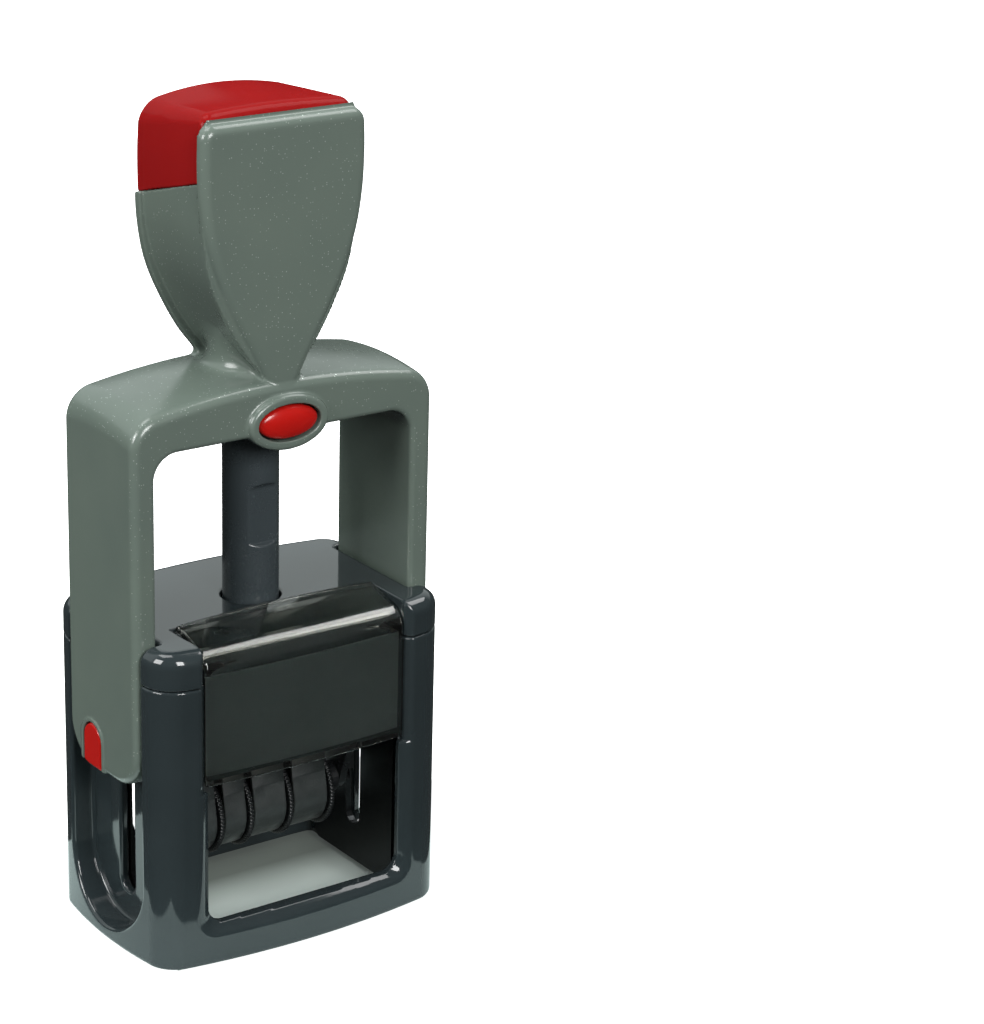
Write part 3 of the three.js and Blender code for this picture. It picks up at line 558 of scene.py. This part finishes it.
# ------------------------------------------------------------------ base
CORNER_X, CORNER_Y = 31.5, 20.0
FRONT_BOW, SIDE_BOW = 3.1, 2.1
CORNER_ROUND = 4.2
SEAM_Z, SEAM_GAP = 57.7, 0.08
DECK_Z = 64.5
POST_TOP_Z = 65.0
ROOM_X, ROOM_Y, WALL = 26, 18.3, 2.2
WINDOW_X, SILL_Z, WINDOW_TOP_Z, REAR_WINDOW_TOP_Z = 21.7, 8.1, 36.8, 39.0
BEVEL_DEPTH, BEVEL_SIDE, BEVEL_SILL = 1.7, 2.1, 1.4
CHANNEL_Y, CHANNEL_X, CHANNEL_ROUND_Z = 13.3, 28.0, 16.0
SLOT_Y, SLOT_ROUND_Z = 2.55, 10.95
COVER_X, SEAT_X = 22.3, 22.6
COVER_BULGE, COVER_CROWN = 0.9, 0.7
COVER_REAR_Y, COVER_FRONT_Y, COVER_CREST_Z = -8.9, -20.3, 63.8
COVER_SLOPE = math.atan2(2.2, 8.1)
COVER_THICKNESS = 0.9
SEAT_REAR_Y = -8.5
COLUMN_R, COLUMN_ROOM_R = 5.5, 5.8


def front_face(x, y, inset=0.0):
    face = np.abs(y) - CORNER_Y + inset - FRONT_BOW * (1 - (x / CORNER_X) ** 2)
    return face / np.sqrt(1 + (2 * FRONT_BOW * x / CORNER_X ** 2) ** 2)


def base_side(x, y, inset=0.0):
    side = (np.abs(x) - CORNER_X + inset - SIDE_BOW * (1 - (y / CORNER_Y) ** 2))
    side = side / np.sqrt(1 + (2 * SIDE_BOW * y / CORNER_Y ** 2) ** 2)
    return both(front_face(x, y, inset), side, max(CORNER_ROUND - inset, 1.5))


def stadium(a, b, half, low):
    """Open slot that ends in a half circle at b = low: negative inside, runs up without end."""
    return np.where(b < low, length(a, b - low), np.abs(a)) - half


def channel(x, y, z):
    side = stadium(y, z, CHANNEL_Y, CHANNEL_ROUND_Z)
    return both(side, CHANNEL_X - np.abs(x), 0.8)


def bevel(x, y):
    """1 on the front and rear faces, falling to 0 at the depth of the bevel."""
    return 1 - np.clip(-front_face(x, y), 0, BEVEL_DEPTH) / BEVEL_DEPTH


def seat_side(x, y):
    """Space between the posts for the clear cover, with the same bevel as the window."""
    return (np.abs(x) - SEAT_X - (WINDOW_X + BEVEL_SIDE - SEAT_X) * bevel(x, y)) * 0.8


def window(x, y, z):
    """Front and rear windows, with a bevel that widens them towards the outside."""
    open_side = BEVEL_SIDE * bevel(x, y)
    open_sill = BEVEL_SILL * bevel(x, y)
    hole = both(np.abs(x) - WINDOW_X - open_side, SILL_Z - open_sill - z, 3.4)
    top = np.where(y > 0, REAR_WINDOW_TOP_Z, WINDOW_TOP_Z)
    return both(both(hole * 0.75, z - top, 0), 8 - np.abs(y), 0)


def lower_frame(x, y, z):
    shell = both(base_side(x, y), -z, 0.9)
    shell = both(shell, z - SEAM_Z + SEAM_GAP, 0.4)
    room = both(both(base_side(x, y, WALL), np.abs(x) - ROOM_X, 1.0), np.abs(y) - ROOM_Y, 1.0)
    shell = cut(shell, room, 0.7)
    shell = cut(shell, window(x, y, z), 0.9)
    seat = both(both(seat_side(x, y), y + 18.9, 0), WINDOW_TOP_Z - 1.0 - z, 0)
    shell = cut(shell, seat, 0.6)
    pad_slot = both(both(np.abs(x) - 24.6, 15.3 - y, 0), 52.3 - z, 0)
    shell = cut(shell, pad_slot, 0.4)
    ledge = cuboid(np.abs(x), y, z, (23.6, -16, 50.4), (26.6, 16, 52.2), 0.3)
    shell = join(shell, ledge, 0)
    shell = cut(shell, channel(x, y, z), 0.9)
    slot = both(stadium(y, z, SLOT_Y, SLOT_ROUND_Z), 25 - np.abs(x), 0)
    return cut(shell, slot, 0.6)


def cover_front(x):
    """Front face of the clear cover, which bulges towards the middle."""
    return COVER_FRONT_Y - COVER_BULGE * (1 - (x / COVER_X) ** 2)


def cover_skin(x, y, z, offset):
    """Space under the clear cover's outer skin, moved inwards by offset: negative inside."""
    front = cover_front(x) + offset - y
    crown = COVER_CROWN * (1 - (x / COVER_X) ** 2)
    top = z - COVER_CREST_Z - crown + offset - (y + 17) * math.tan(COVER_SLOPE)
    top = top * math.cos(COVER_SLOPE)
    return both(front, top, 3.6 - offset * 0.6)


def top_cover(x, y, z):
    shell = both(base_side(x, y), z - POST_TOP_Z, 3.0)
    shell = both(shell, SEAM_Z + SEAM_GAP - z, 0.4)
    room = both(both(base_side(x, y, WALL), np.abs(x) - ROOM_X, 0), np.abs(y) - ROOM_Y, 0)
    shell = cut(shell, both(room, z - 60.6, 0), 0.3)
    step = both(np.abs(x) - SEAT_X, y - SEAT_REAR_Y, 0)
    shell = cut(shell, both(step, DECK_Z - z, 0), 0.4)
    lid = cover_skin(x, y, z, 1.9)
    front_room = both(both(seat_side(x, y), -lid, 0), y - SEAT_REAR_Y, 0)
    shell = cut(shell, front_room, 0.4)
    shell = cut(shell, disc(x, y, COLUMN_ROOM_R), 0.5)
    return cut(shell, channel(x, y, z), 0.9)


add_solid("base_lower_shell", lower_frame, ((-33.7, -23.2, 0), (33.7, 23.2, SEAM_Z)), 0.5,
          casing, "base", "lower_frame")
add_solid("base_top_deck", top_cover, ((-33.7, -23.2, SEAM_Z), (33.7, 23.2, POST_TOP_Z)), 0.45,
          casing, "base", "top_cover")


def clear_cover(x, y, z):
    outer = cover_skin(x, y, z, 0.0)
    outer = both(outer, np.abs(x) - COVER_X, 0.75)
    outer = both(outer, y - COVER_REAR_Y, 0.6)
    outer = both(outer, WINDOW_TOP_Z - z, 0.4)
    return cut(outer, cover_skin(x, y, z, COVER_THICKNESS), 0.2)


add_solid("clear_front_cover", clear_cover, ((-22.4, -21.4, 36.6), (22.4, -8.8, 67.2)), 0.3,
          clear, "base", "front_cover")


def make_label():
    """Card behind the cover: a bowed sheet with its own thickness."""
    columns, rows = 45, 22
    half, low, high, thick = COVER_X - 0.9, 38.8, 59.0, 0.4
    points, faces = [], []
    for back in (0, 1):
        for j in range(rows + 1):
            for i in range(columns + 1):
                x = -half + 2 * half * i / columns
                z = low + (high - low) * j / rows
                points.append((x, cover_front(x) + 1.05 + back * thick, z))
    side = (columns + 1) * (rows + 1)

    def at(i, j, back):
        return back * side + j * (columns + 1) + i
    for j in range(rows):
        for i in range(columns):
            quad = (at(i, j, 0), at(i + 1, j, 0), at(i + 1, j + 1, 0), at(i, j + 1, 0))
            faces.append(quad)
            faces.append(tuple(v + side for v in quad[::-1]))
    for i in range(columns):
        faces.append((at(i, 0, 1), at(i + 1, 0, 1), at(i + 1, 0, 0), at(i, 0, 0)))
        faces.append((at(i, rows, 0), at(i + 1, rows, 0), at(i + 1, rows, 1), at(i, rows, 1)))
    for j in range(rows):
        faces.append((at(0, j, 0), at(0, j + 1, 0), at(0, j + 1, 1), at(0, j, 1)))
        faces.append((at(columns, j, 1), at(columns, j + 1, 1), at(columns, j + 1, 0),
                      at(columns, j, 0)))
    made = add_mesh("index_label", points, faces, card, "base", "index_card")
    made.data.set_sharp_from_angle(angle=SHARP)


make_label()


# ------------------------------------------------------------------ guide column
COLUMN_TOP_Z, FLANGE_LOW_Z, FLANGE_R = 115, 58.5, 10
NOTCH_Y, NOTCH_LOW_Z, NOTCH_TOP_Z, NOTCH_SLOPE = -4.5, 77, 89, 0.7


def column(x, y, z):
    tube = both(disc(x, y, COLUMN_R), z - COLUMN_TOP_Z, 0.5)
    tube = both(tube, FLANGE_LOW_Z - z, 0)
    flange = both(disc(x, y, FLANGE_R), between(z, FLANGE_LOW_Z, 60.3), 0.4)
    tube = join(tube, flange, 0.3)
    bore = both(disc(x, y, 4.1), 60.9 - z, 0.4)
    tube = cut(tube, bore, 0.3)
    run_out = NOTCH_LOW_Z + NOTCH_SLOPE * np.minimum(y - NOTCH_Y, 0) - z
    run_out = run_out / math.hypot(1, NOTCH_SLOPE)
    tube = cut(tube, both(both(y - NOTCH_Y, run_out, 0), z - NOTCH_TOP_Z, 1.5), 0.2)
    return cut(tube, disc(np.abs(x) - 7.9, y, 1.2), 0.15)


add_solid("guide_tube", column, ((-10.1, -10.1, 58.4), (10.1, 10.1, 115.1)), 0.36,
          column_dark, "base", "guide_column")


# ------------------------------------------------------------------ handle
TOP_Z = 163.3
PLATE_Y, PLATE_BACK_Y, PLATE_TOP_Z = -12.5, -9.9, 161.2
CAP_EDGE_Z, CAP_SLOPE = 151, 0.274
BRIDGE_R = 163
CROWN_Z = 111.2 - BRIDGE_R
LEG_X, LEG_Y, LEG_LOW_Z, LEG_CORNER = 33.2, 12.95, 34.7, 8
INSERT_Y, INSERT_Z = 3.7, 40.5
BUTTON_Z, BUTTON_HALF_X, BUTTON_HALF_Z = 103.6, 6.5, 3.28
REAR_FLANK = curve([(106, 3.6), (111.5, 5.2), (117, 9.2), (124, 13.2), (131, 16.2), (139, 17.8),
                    (148, 18.1), (157, 17.8), (163.3, 17.2)])
FRONT_FLANK = curve([(106, 1.0), (108, 1.8), (112.8, 4.2), (117.2, 6.5), (124.4, 10.4),
                     (131.4, 13.7), (138.4, 16.1), (145.7, 17.4), (153, 17.8), (161.2, 17.6)])


def flank_side(x, z, flank, inset=0.0):
    width, slope = flank(z)
    return (np.abs(x) - width + inset) / np.sqrt(1 + slope ** 2)


def rear_share(y):
    """0 at the front plate, growing to 1 at the rear face of the grip."""
    return np.clip((y + 10) / 22, 0, 1)


def grip_top(x, y):
    """Top of the grip: an arch that is flatter towards the front plate."""
    return TOP_Z - (0.002 + 0.0065 * rear_share(y)) * x ** 2


def grip_body(x, y, z):
    """Body between the two plates: waisted low down, with a soft crease behind the middle."""
    share = smooth_step(z - 136, 24)
    inset = 1.5 * (1 - smooth_step(z - 126, 34)) + 0.35
    waist = (1 - share) * 0.9 * np.clip(1 - ((y - 1) / 10.5) ** 2, 0, 1)
    crease_y = 4.0
    width, slope = REAR_FLANK(z)
    steep = np.sqrt(1 + slope ** 2)
    wide = width - inset - waist
    ahead = (np.abs(x) - wide - 0.075 * share * (y - crease_y)) / steep
    behind = (np.abs(x) - wide + 0.03 * share * (y - crease_y)) / steep
    side = both(ahead, behind, 0.6)
    return both(side, z - grip_top(x, y), 1.8 + 2.0 * rear_share(y))


def front_plate(x, y, z):
    plate = both(flank_side(x, z, FRONT_FLANK), z - PLATE_TOP_Z, 2.8)
    plate = both(plate, y - PLATE_BACK_Y, 0)
    plate = both(plate, PLATE_Y - y, 1.9)
    return both(plate, 109.5 - z, 1.5)


def rear_plate(x, y, z):
    plate = both(flank_side(x, z, REAR_FLANK), z - grip_top(x, y), 4.2)
    plate = both(plate, 9.6 - y, 0.25)
    plate = both(plate, y - 12, 0.9)
    return both(plate, 107 - z, 0)


def cap_edge(y, z):
    """Seam between the cap and the grip: negative below it. It falls towards the rear."""
    return (z - CAP_EDGE_Z + CAP_SLOPE * (y - PLATE_Y)) / math.hypot(1, CAP_SLOPE)


def grip_core(x, y, z):
    return both(grip_body(x, y, z), between(y, -10.6, 11), 0)


def leg_end(y, z):
    """Sides and rounded lower end of a leg."""
    return both(np.abs(y) - LEG_Y, LEG_LOW_Z - z, LEG_CORNER)


def arch_hole(y, z, half):
    """Arch in the foot of a leg, open at the bottom."""
    return stadium(y - INSERT_Y, 2 * INSERT_Z - z, half, INSERT_Z)


def yoke(x, y, z):
    crown = 1.1 * (1 - (y / LEG_Y) ** 2)
    outer = both(np.abs(x) - LEG_X, length(x, z - CROWN_Z) - BRIDGE_R - crown, 5.0)
    frame_shape = both(outer, leg_end(y, z), 1.7)
    opening = both(np.abs(x) - 28.4, z - 101.4, 5)
    return cut(frame_shape, opening, 1.0)


def handle(x, y, z):
    shape = yoke(x, y, z)
    neck = both(disc(x, y, 7.8), between(z, 103, 130), 0)
    shape = join(shape, neck, 3.2)
    core = join(grip_core(x, y, z), neck, 2.0)
    core = join(core, rear_plate(x, y, z), 0.3)
    core = both(core, 108 - z, 0)
    shape = join(shape, core, 1.6)
    shape = join(shape, front_plate(x, y, z), 0.5)
    cap_room = both(-cap_edge(y, z) + 0.06, -9.95 - y, 0)
    shape = cut(shape, cap_room, 0.25)
    boss = both(ellipse(x, z - BUTTON_Z, 8.7, 5.4), between(y, -14.2, -5), 0.9)
    shape = join(shape, boss, 0.6)
    shape = cut(shape, both(ellipse(x, z - BUTTON_Z, 6.85, 3.6), y + 7.4, 0), 0.3)
    shape = cut(shape, both(disc(x, y, COLUMN_ROOM_R), z - 148, 0), 0.3)
    shape = cut(shape, both(disc(x, z - BUTTON_Z, 1.8), between(y, -9, -5), 0), 0.15)
    pin_hole = both(disc(y, z - 40, 2.5), np.abs(x) - 30.7, 0)
    shape = cut(shape, pin_hole, 0.3)
    arch = arch_hole(y, z, 3.5)
    rim = both(both(arch - 0.8, np.abs(x) - LEG_X - 0.25, 0.25), 30 - np.abs(x), 0)
    rim = both(rim, leg_end(y, z), 0.5)
    shape = join(shape, rim, 0.3)
    return cut(shape, both(arch, 31.4 - np.abs(x), 0), 0.2)


add_solid("handle_yoke_and_grip", handle, ((-33.6, -14.4, 34.5), (33.6, 13.1, 161.4)), 0.5,
          grey, "handle", "handle_frame")


def cap(x, y, z):
    shape = both(grip_body(x, y, z), y - 12, 0.7)
    shape = both(shape, PLATE_BACK_Y - y, 0.15 + 2.0 * smooth_step(z - 160, 3))
    shape = both(shape, 0.06 - cap_edge(y, z), 0.25)
    hollow = both(grip_body(x, y, z) + 2.4, between(y, -7.4, 9.6), 0.5)
    return cut(shape, hollow, 0.4)


add_solid("grip_cap", cap, ((-18.4, -10.4, 144), (18.4, 12.1, 163.4)), 0.42,
          red, "handle", "handle_cap")


def insert(x, y, z):
    shape = both(arch_hole(y, z, 3.25), between(np.abs(x), 31.6, 33.4), 0.45)
    return both(shape, both(np.abs(y) - 12.3, 35.0 - z, 7.7), 0.4)


for side_name, sign in (("left", -1), ("right", 1)):
    span = sorted((sign * 31.2, sign * 33.6))
    add_solid(f"leg_insert_cap_{side_name}", insert, ((span[0], 0, 34.6), (span[1], 7.5, 44.2)), 0.3,
              bright_red, "handle", f"leg_insert_{side_name}")


def button(x, y, z):
    """Oval button with a domed front and a stem that guides it in the grip."""
    rim = ellipse(x, z - BUTTON_Z, BUTTON_HALF_X, BUTTON_HALF_Z)
    reach = length(x / BUTTON_HALF_X, (z - BUTTON_Z) / BUTTON_HALF_Z)
    swell = 1.5 * np.sqrt(np.clip(1 - reach ** 2, 0, 1) * 0.9 + 0.02)
    dome = both(rim, -(y + 13.2 + swell), 0.5)
    dome = both(dome, y + 12.5, 0.2)
    stem = both(disc(x, z - BUTTON_Z, 1.5), between(y, -12.9, -8.2), 0.3)
    return join(dome, stem, 0.3)


add_solid("lock_button_cap", button, ((-6.7, -14.9, 100.2), (6.7, -8.1, 107)), 0.24,
          bright_red, "lock", "lock_button")


# ------------------------------------------------------------------ springs
COIL_SIDES, DEAD_TURNS = 10, 1.0


def coil(name, mean, wire, foot, along, turns, axis, material, body, node):
    """Compression spring as a round wire along a helix, with closed ends, rising from foot along axis."""
    steps = int(turns * (30))
    t = np.linspace(0, 1, steps + 1)
    lap = t * turns
    rise = np.clip((lap - DEAD_TURNS) / (turns - 2 * DEAD_TURNS), 0, 1)
    ends = np.minimum(lap, DEAD_TURNS) + np.clip(lap - turns + DEAD_TURNS, 0, DEAD_TURNS)
    height = wire + 2 * wire * ends + rise * (along - 2 * wire - 4 * wire * DEAD_TURNS)
    angle = lap * 2 * math.pi
    centre = np.stack([mean * np.cos(angle), mean * np.sin(angle), height], 1)
    ahead = np.gradient(centre, axis=0)
    ahead /= np.linalg.norm(ahead, axis=1)[:, None]
    outward = np.stack([np.cos(angle), np.sin(angle), np.zeros_like(angle)], 1)
    across = np.cross(ahead, outward)
    ring = (np.arange(COIL_SIDES) * 2 * math.pi / COIL_SIDES)[None, :, None]
    offset = np.cos(ring) * outward[:, None, :] + np.sin(ring) * across[:, None, :]
    points = (centre[:, None, :] + wire * offset).reshape(-1, 3)
    if axis == "y":
        points = np.stack([points[:, 0], points[:, 2], -points[:, 1]], 1)
    faces = []
    for i in range(steps):
        a, b = i * COIL_SIDES, (i + 1) * COIL_SIDES
        for j in range(COIL_SIDES):
            k = (j + 1) % COIL_SIDES
            faces.append((a + j, a + k, b + k, b + j))
    faces.append(tuple(range(COIL_SIDES))[::-1])
    faces.append(tuple(steps * COIL_SIDES + j for j in range(COIL_SIDES)))
    return add_mesh(name, points + np.array(foot), faces, material, body, node)


return_coil = coil("return_spring_coil", 3.0, 0.55, (0, 0, 61.3), 84.2, 15, "z", dull_metal, "base",
                   "return_spring")
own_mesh(return_coil)
button_coil = coil("button_spring_coil", 2.3, 0.25, (0, -12.3, BUTTON_Z), 4.3, 5, "y", dull_metal,
                   "handle", "button_spring")
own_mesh(button_coil)


# ------------------------------------------------------------------ date wheels and bands
WHEEL_Z = sum(corner.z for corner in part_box("wheel_axle")) / 2 / MM
RIM_R, DRUM_R, BORE_R = 8.5, 6.6, 1.55
BAND_SEAT_R = DRUM_R + 0.3
TEETH = 68
WHEELS = (("day_tens", -17.9, -10.9), ("day_units", -10.6, -4.2), ("month", -3.9, 5.0),
          ("year", 5.3, 14.6))
RIM_WIDTH = 1.0
NOSE_Z, NOSE_R = 48.4, 1.9
BAND, BAND_SOFT_EDGE = 0.9, 0.15
FIGURE_DEPTH, FIGURE_PITCH = 0.95, 5.4


def lathe_x(name, profile, teeth, material, body, node):
    """Wheel turned about the x axis: profile of (x, radius, tooth depth) round a closed section."""
    steps = teeth * 4
    points, faces = [], []
    count = len(profile)
    for i in range(steps):
        angle = 2 * math.pi * i / steps
        wave = 0.5 + 0.5 * math.cos(2 * math.pi * (i % 4) / 4)
        for x, radius, depth in profile:
            r = radius - depth * (1 - wave)
            points.append((x, r * math.cos(angle), WHEEL_Z + r * math.sin(angle)))
    for i in range(steps):
        for j in range(count):
            a, b = i * count + j, i * count + (j + 1) % count
            c, d = ((i + 1) % steps) * count + (j + 1) % count, ((i + 1) % steps) * count + j
            faces.append((a, b, c, d))
    return add_mesh(name, points, faces, material, body, node)


for wheel_name, start, end in WHEELS:
    inner, edge = end - RIM_WIDTH, end
    section = [
        (start, BORE_R, 0), (edge, BORE_R, 0), (edge, 1.9, 0), (edge, RIM_R - 0.9, 0),
        (edge, RIM_R - 0.35, 0.1), (edge - 0.1, RIM_R - 0.1, 0.32), (edge - 0.3, RIM_R, 0.42),
        (inner + 0.3, RIM_R, 0.42), (inner + 0.1, RIM_R - 0.1, 0.32),
        (inner, RIM_R - 0.35, 0.1), (inner, RIM_R - 0.9, 0), (inner, DRUM_R + 0.15, 0),
        (inner - 0.15, DRUM_R, 0), (start + 0.3, DRUM_R, 0), (start, DRUM_R - 0.3, 0),
        (start, 1.9, 0)]
    lathe_x(f"date_wheel_{wheel_name}", section[::-1], TEETH, black, f"{wheel_name}_setter",
            f"wheel_{wheel_name}")


def loop_points(nose, drum, steps):
    """Outline (y, z) of a band round the nose of the bridge and the drum, evenly spaced."""
    lean = math.asin((drum - nose) / (NOSE_Z - WHEEL_Z))
    dense = []
    for k in range(201):
        a = lean + (math.pi - 2 * lean) * k / 200
        dense.append((nose * math.cos(a), NOSE_Z + nose * math.sin(a)))
    for k in range(401):
        a = math.pi - lean + (math.pi + 2 * lean) * k / 400
        dense.append((drum * math.cos(a), WHEEL_Z + drum * math.sin(a)))
    dense = np.array(dense + dense[:1])
    run = np.concatenate([[0], np.cumsum(np.linalg.norm(np.diff(dense, axis=0), axis=1))])
    at = np.linspace(0, run[-1], steps, endpoint=False)
    return np.stack([np.interp(at, run, dense[:, 0]), np.interp(at, run, dense[:, 1])], 1), run[-1]


FIGURES = {
    "day_tens": ["0", "1", "2", "3"],
    "day_units": [str(n) for n in range(10)],
    "month": ["JAN", "FEB", "MAR", "APR", "MAY", "JUN", "JUL", "AUG", "SEP", "OCT", "NOV", "DEC"],
    "year": ["2025", "2026", "2027", "2028", "2029", "2030"],
}
LETTER_HEIGHT = 3.2


def flat_text(body, width):
    """Letters as a flat mesh (points, triangles) in mm, mirrored, centred, at most width wide."""
    data = bpy.data.curves.new("figure", "FONT")
    data.body = body
    data.align_x, data.align_y = "CENTER", "CENTER"
    data.size = 4.4
    data.resolution_u = 3
    holder = bpy.data.objects.new("figure", data)
    scene.collection.objects.link(holder)
    bpy.context.view_layer.update()
    evaluated = holder.evaluated_get(bpy.context.evaluated_depsgraph_get())
    mesh = bpy.data.meshes.new_from_object(evaluated)
    points = np.array([v.co[:2] for v in mesh.vertices], float)
    polygons = [list(p.vertices) for p in mesh.polygons]
    bpy.data.objects.remove(holder)
    bpy.data.curves.remove(data)
    bpy.data.meshes.remove(mesh)
    low, high = points.min(0), points.max(0)
    points = points - (low + high) / 2
    points *= min(LETTER_HEIGHT / (high[1] - low[1]), width / (high[0] - low[0]))
    points[:, 0] *= -1
    return points, [p[::-1] for p in polygons]


def make_band(name, start, end):
    """Rubber band with figures standing proud of it, one of them on the nose."""
    steps = 180
    skin = BAND - 0.25
    outer, run = loop_points(NOSE_R + skin, BAND_SEAT_R + skin, steps)
    inner, _ = loop_points(NOSE_R, BAND_SEAT_R, steps)
    points, faces = [], []
    soft = BAND_SOFT_EDGE
    for (oy, oz), (iy, iz) in zip(outer, inner):
        away = np.array((oy - iy, oz - iz))
        dip = away / np.linalg.norm(away) * soft
        points += [(start, iy, iz), (end, iy, iz), (end, oy - dip[0], oz - dip[1]),
                   (end - soft, oy, oz), (start + soft, oy, oz), (start, oy - dip[0], oz - dip[1])]
    for i in range(steps):
        k = (i + 1) % steps
        for j in range(6):
            m = (j + 1) % 6
            faces.append((i * 6 + j, k * 6 + j, k * 6 + m, i * 6 + m))
    texts = FIGURES[name]
    pitch = run / max(len(texts), int(run // FIGURE_PITCH))
    middle = (start + end) / 2
    path, _ = loop_points(NOSE_R + skin - 0.05, BAND_SEAT_R + skin - 0.05, 720)
    ring = np.roll(path, -int(np.argmax(path[:, 1])), axis=0)
    for place in (-2, -1, 0, 1, 2):
        letters, polygons = flat_text(texts[place % len(texts)], end - start - 1.0)
        base = len(points)
        count = len(letters)
        for depth in (0.0, FIGURE_DEPTH):
            for px, py in letters:
                s = (place * pitch + py) / run * len(ring)
                i0 = int(math.floor(s)) % len(ring)
                i1 = (i0 + 1) % len(ring)
                f = s - math.floor(s)
                centre = ring[i0] * (1 - f) + ring[i1] * f
                tangent = ring[i1] - ring[i0]
                tangent = tangent / np.linalg.norm(tangent)
                out = np.array((tangent[1], -tangent[0]))
                spot = centre + out * depth
                points.append((middle + px, spot[0], spot[1]))
        sides = {}
        for polygon in polygons:
            for a, b in zip(polygon, polygon[1:] + polygon[:1]):
                sides[(a, b)] = (b, a)
        for polygon in polygons:
            faces.append(tuple(base + count + v for v in polygon))
            faces.append(tuple(base + v for v in polygon[::-1]))
        for (a, b), turned in sides.items():
            if turned not in sides:
                faces.append((base + a, base + b, base + count + b, base + count + a))
    made = add_mesh(f"date_band_{name}", points, faces, rubber, "print_unit", f"band_{name}")
    made.data.set_sharp_from_angle(angle=SHARP)


for band_name, start, end in WHEELS:
    make_band(band_name, start + 0.3, end - 1.3)


# ------------------------------------------------------------------ ink pad
PAD_X, PAD_Y, PAD_LOW_Z, PAD_HIGH_Z = 22.6, 14.6, 53.0, 55.6


def ink_pad(x, y, z):
    """Inked foam: the face below swells in the middle, and the sides draw in between the corners."""
    across, deep = (x / PAD_X) ** 2, (y / PAD_Y) ** 2
    pad = both(np.abs(x) - PAD_X + 0.5 * (1 - deep), np.abs(y) - PAD_Y + 0.5 * (1 - across), 1.6)
    pad = both(pad, PAD_LOW_Z + 0.25 * (across + deep) - z, 0.7)
    return both(pad, z - PAD_HIGH_Z, 0.3)


foam_pad = add_solid("ink_pad_foam", ink_pad, ((-PAD_X, -PAD_Y, PAD_LOW_Z), (PAD_X, PAD_Y, PAD_HIGH_Z)),
                     0.4, foam, "pad_drawer", "ink_pad")


# ------------------------------------------------------------------ CAD nodes that stay, new materials
KEPT = {
    "column_screw_left": metal, "column_screw_right": metal,
    "cam_plate_left": dark_metal, "cam_plate_right": dark_metal,
    "axle_pin_left": metal, "axle_pin_right": metal,
    "cam_pin_left": metal, "cam_pin_right": metal,
    "spring_guide": black, "swivel_frame": inner_dark, "text_plate": black, "band_bridge": black,
    "text_die": die_rubber, "wheel_axle": metal, "axle_spacer": black,
    "wheel_clip_left": inner_dark, "wheel_clip_right": inner_dark,
    "ink_pad_tray": black,
}
for node_name, material in KEPT.items():
    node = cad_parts[node_name]
    node.data.materials.clear()
    node.data.materials.append(material.data)
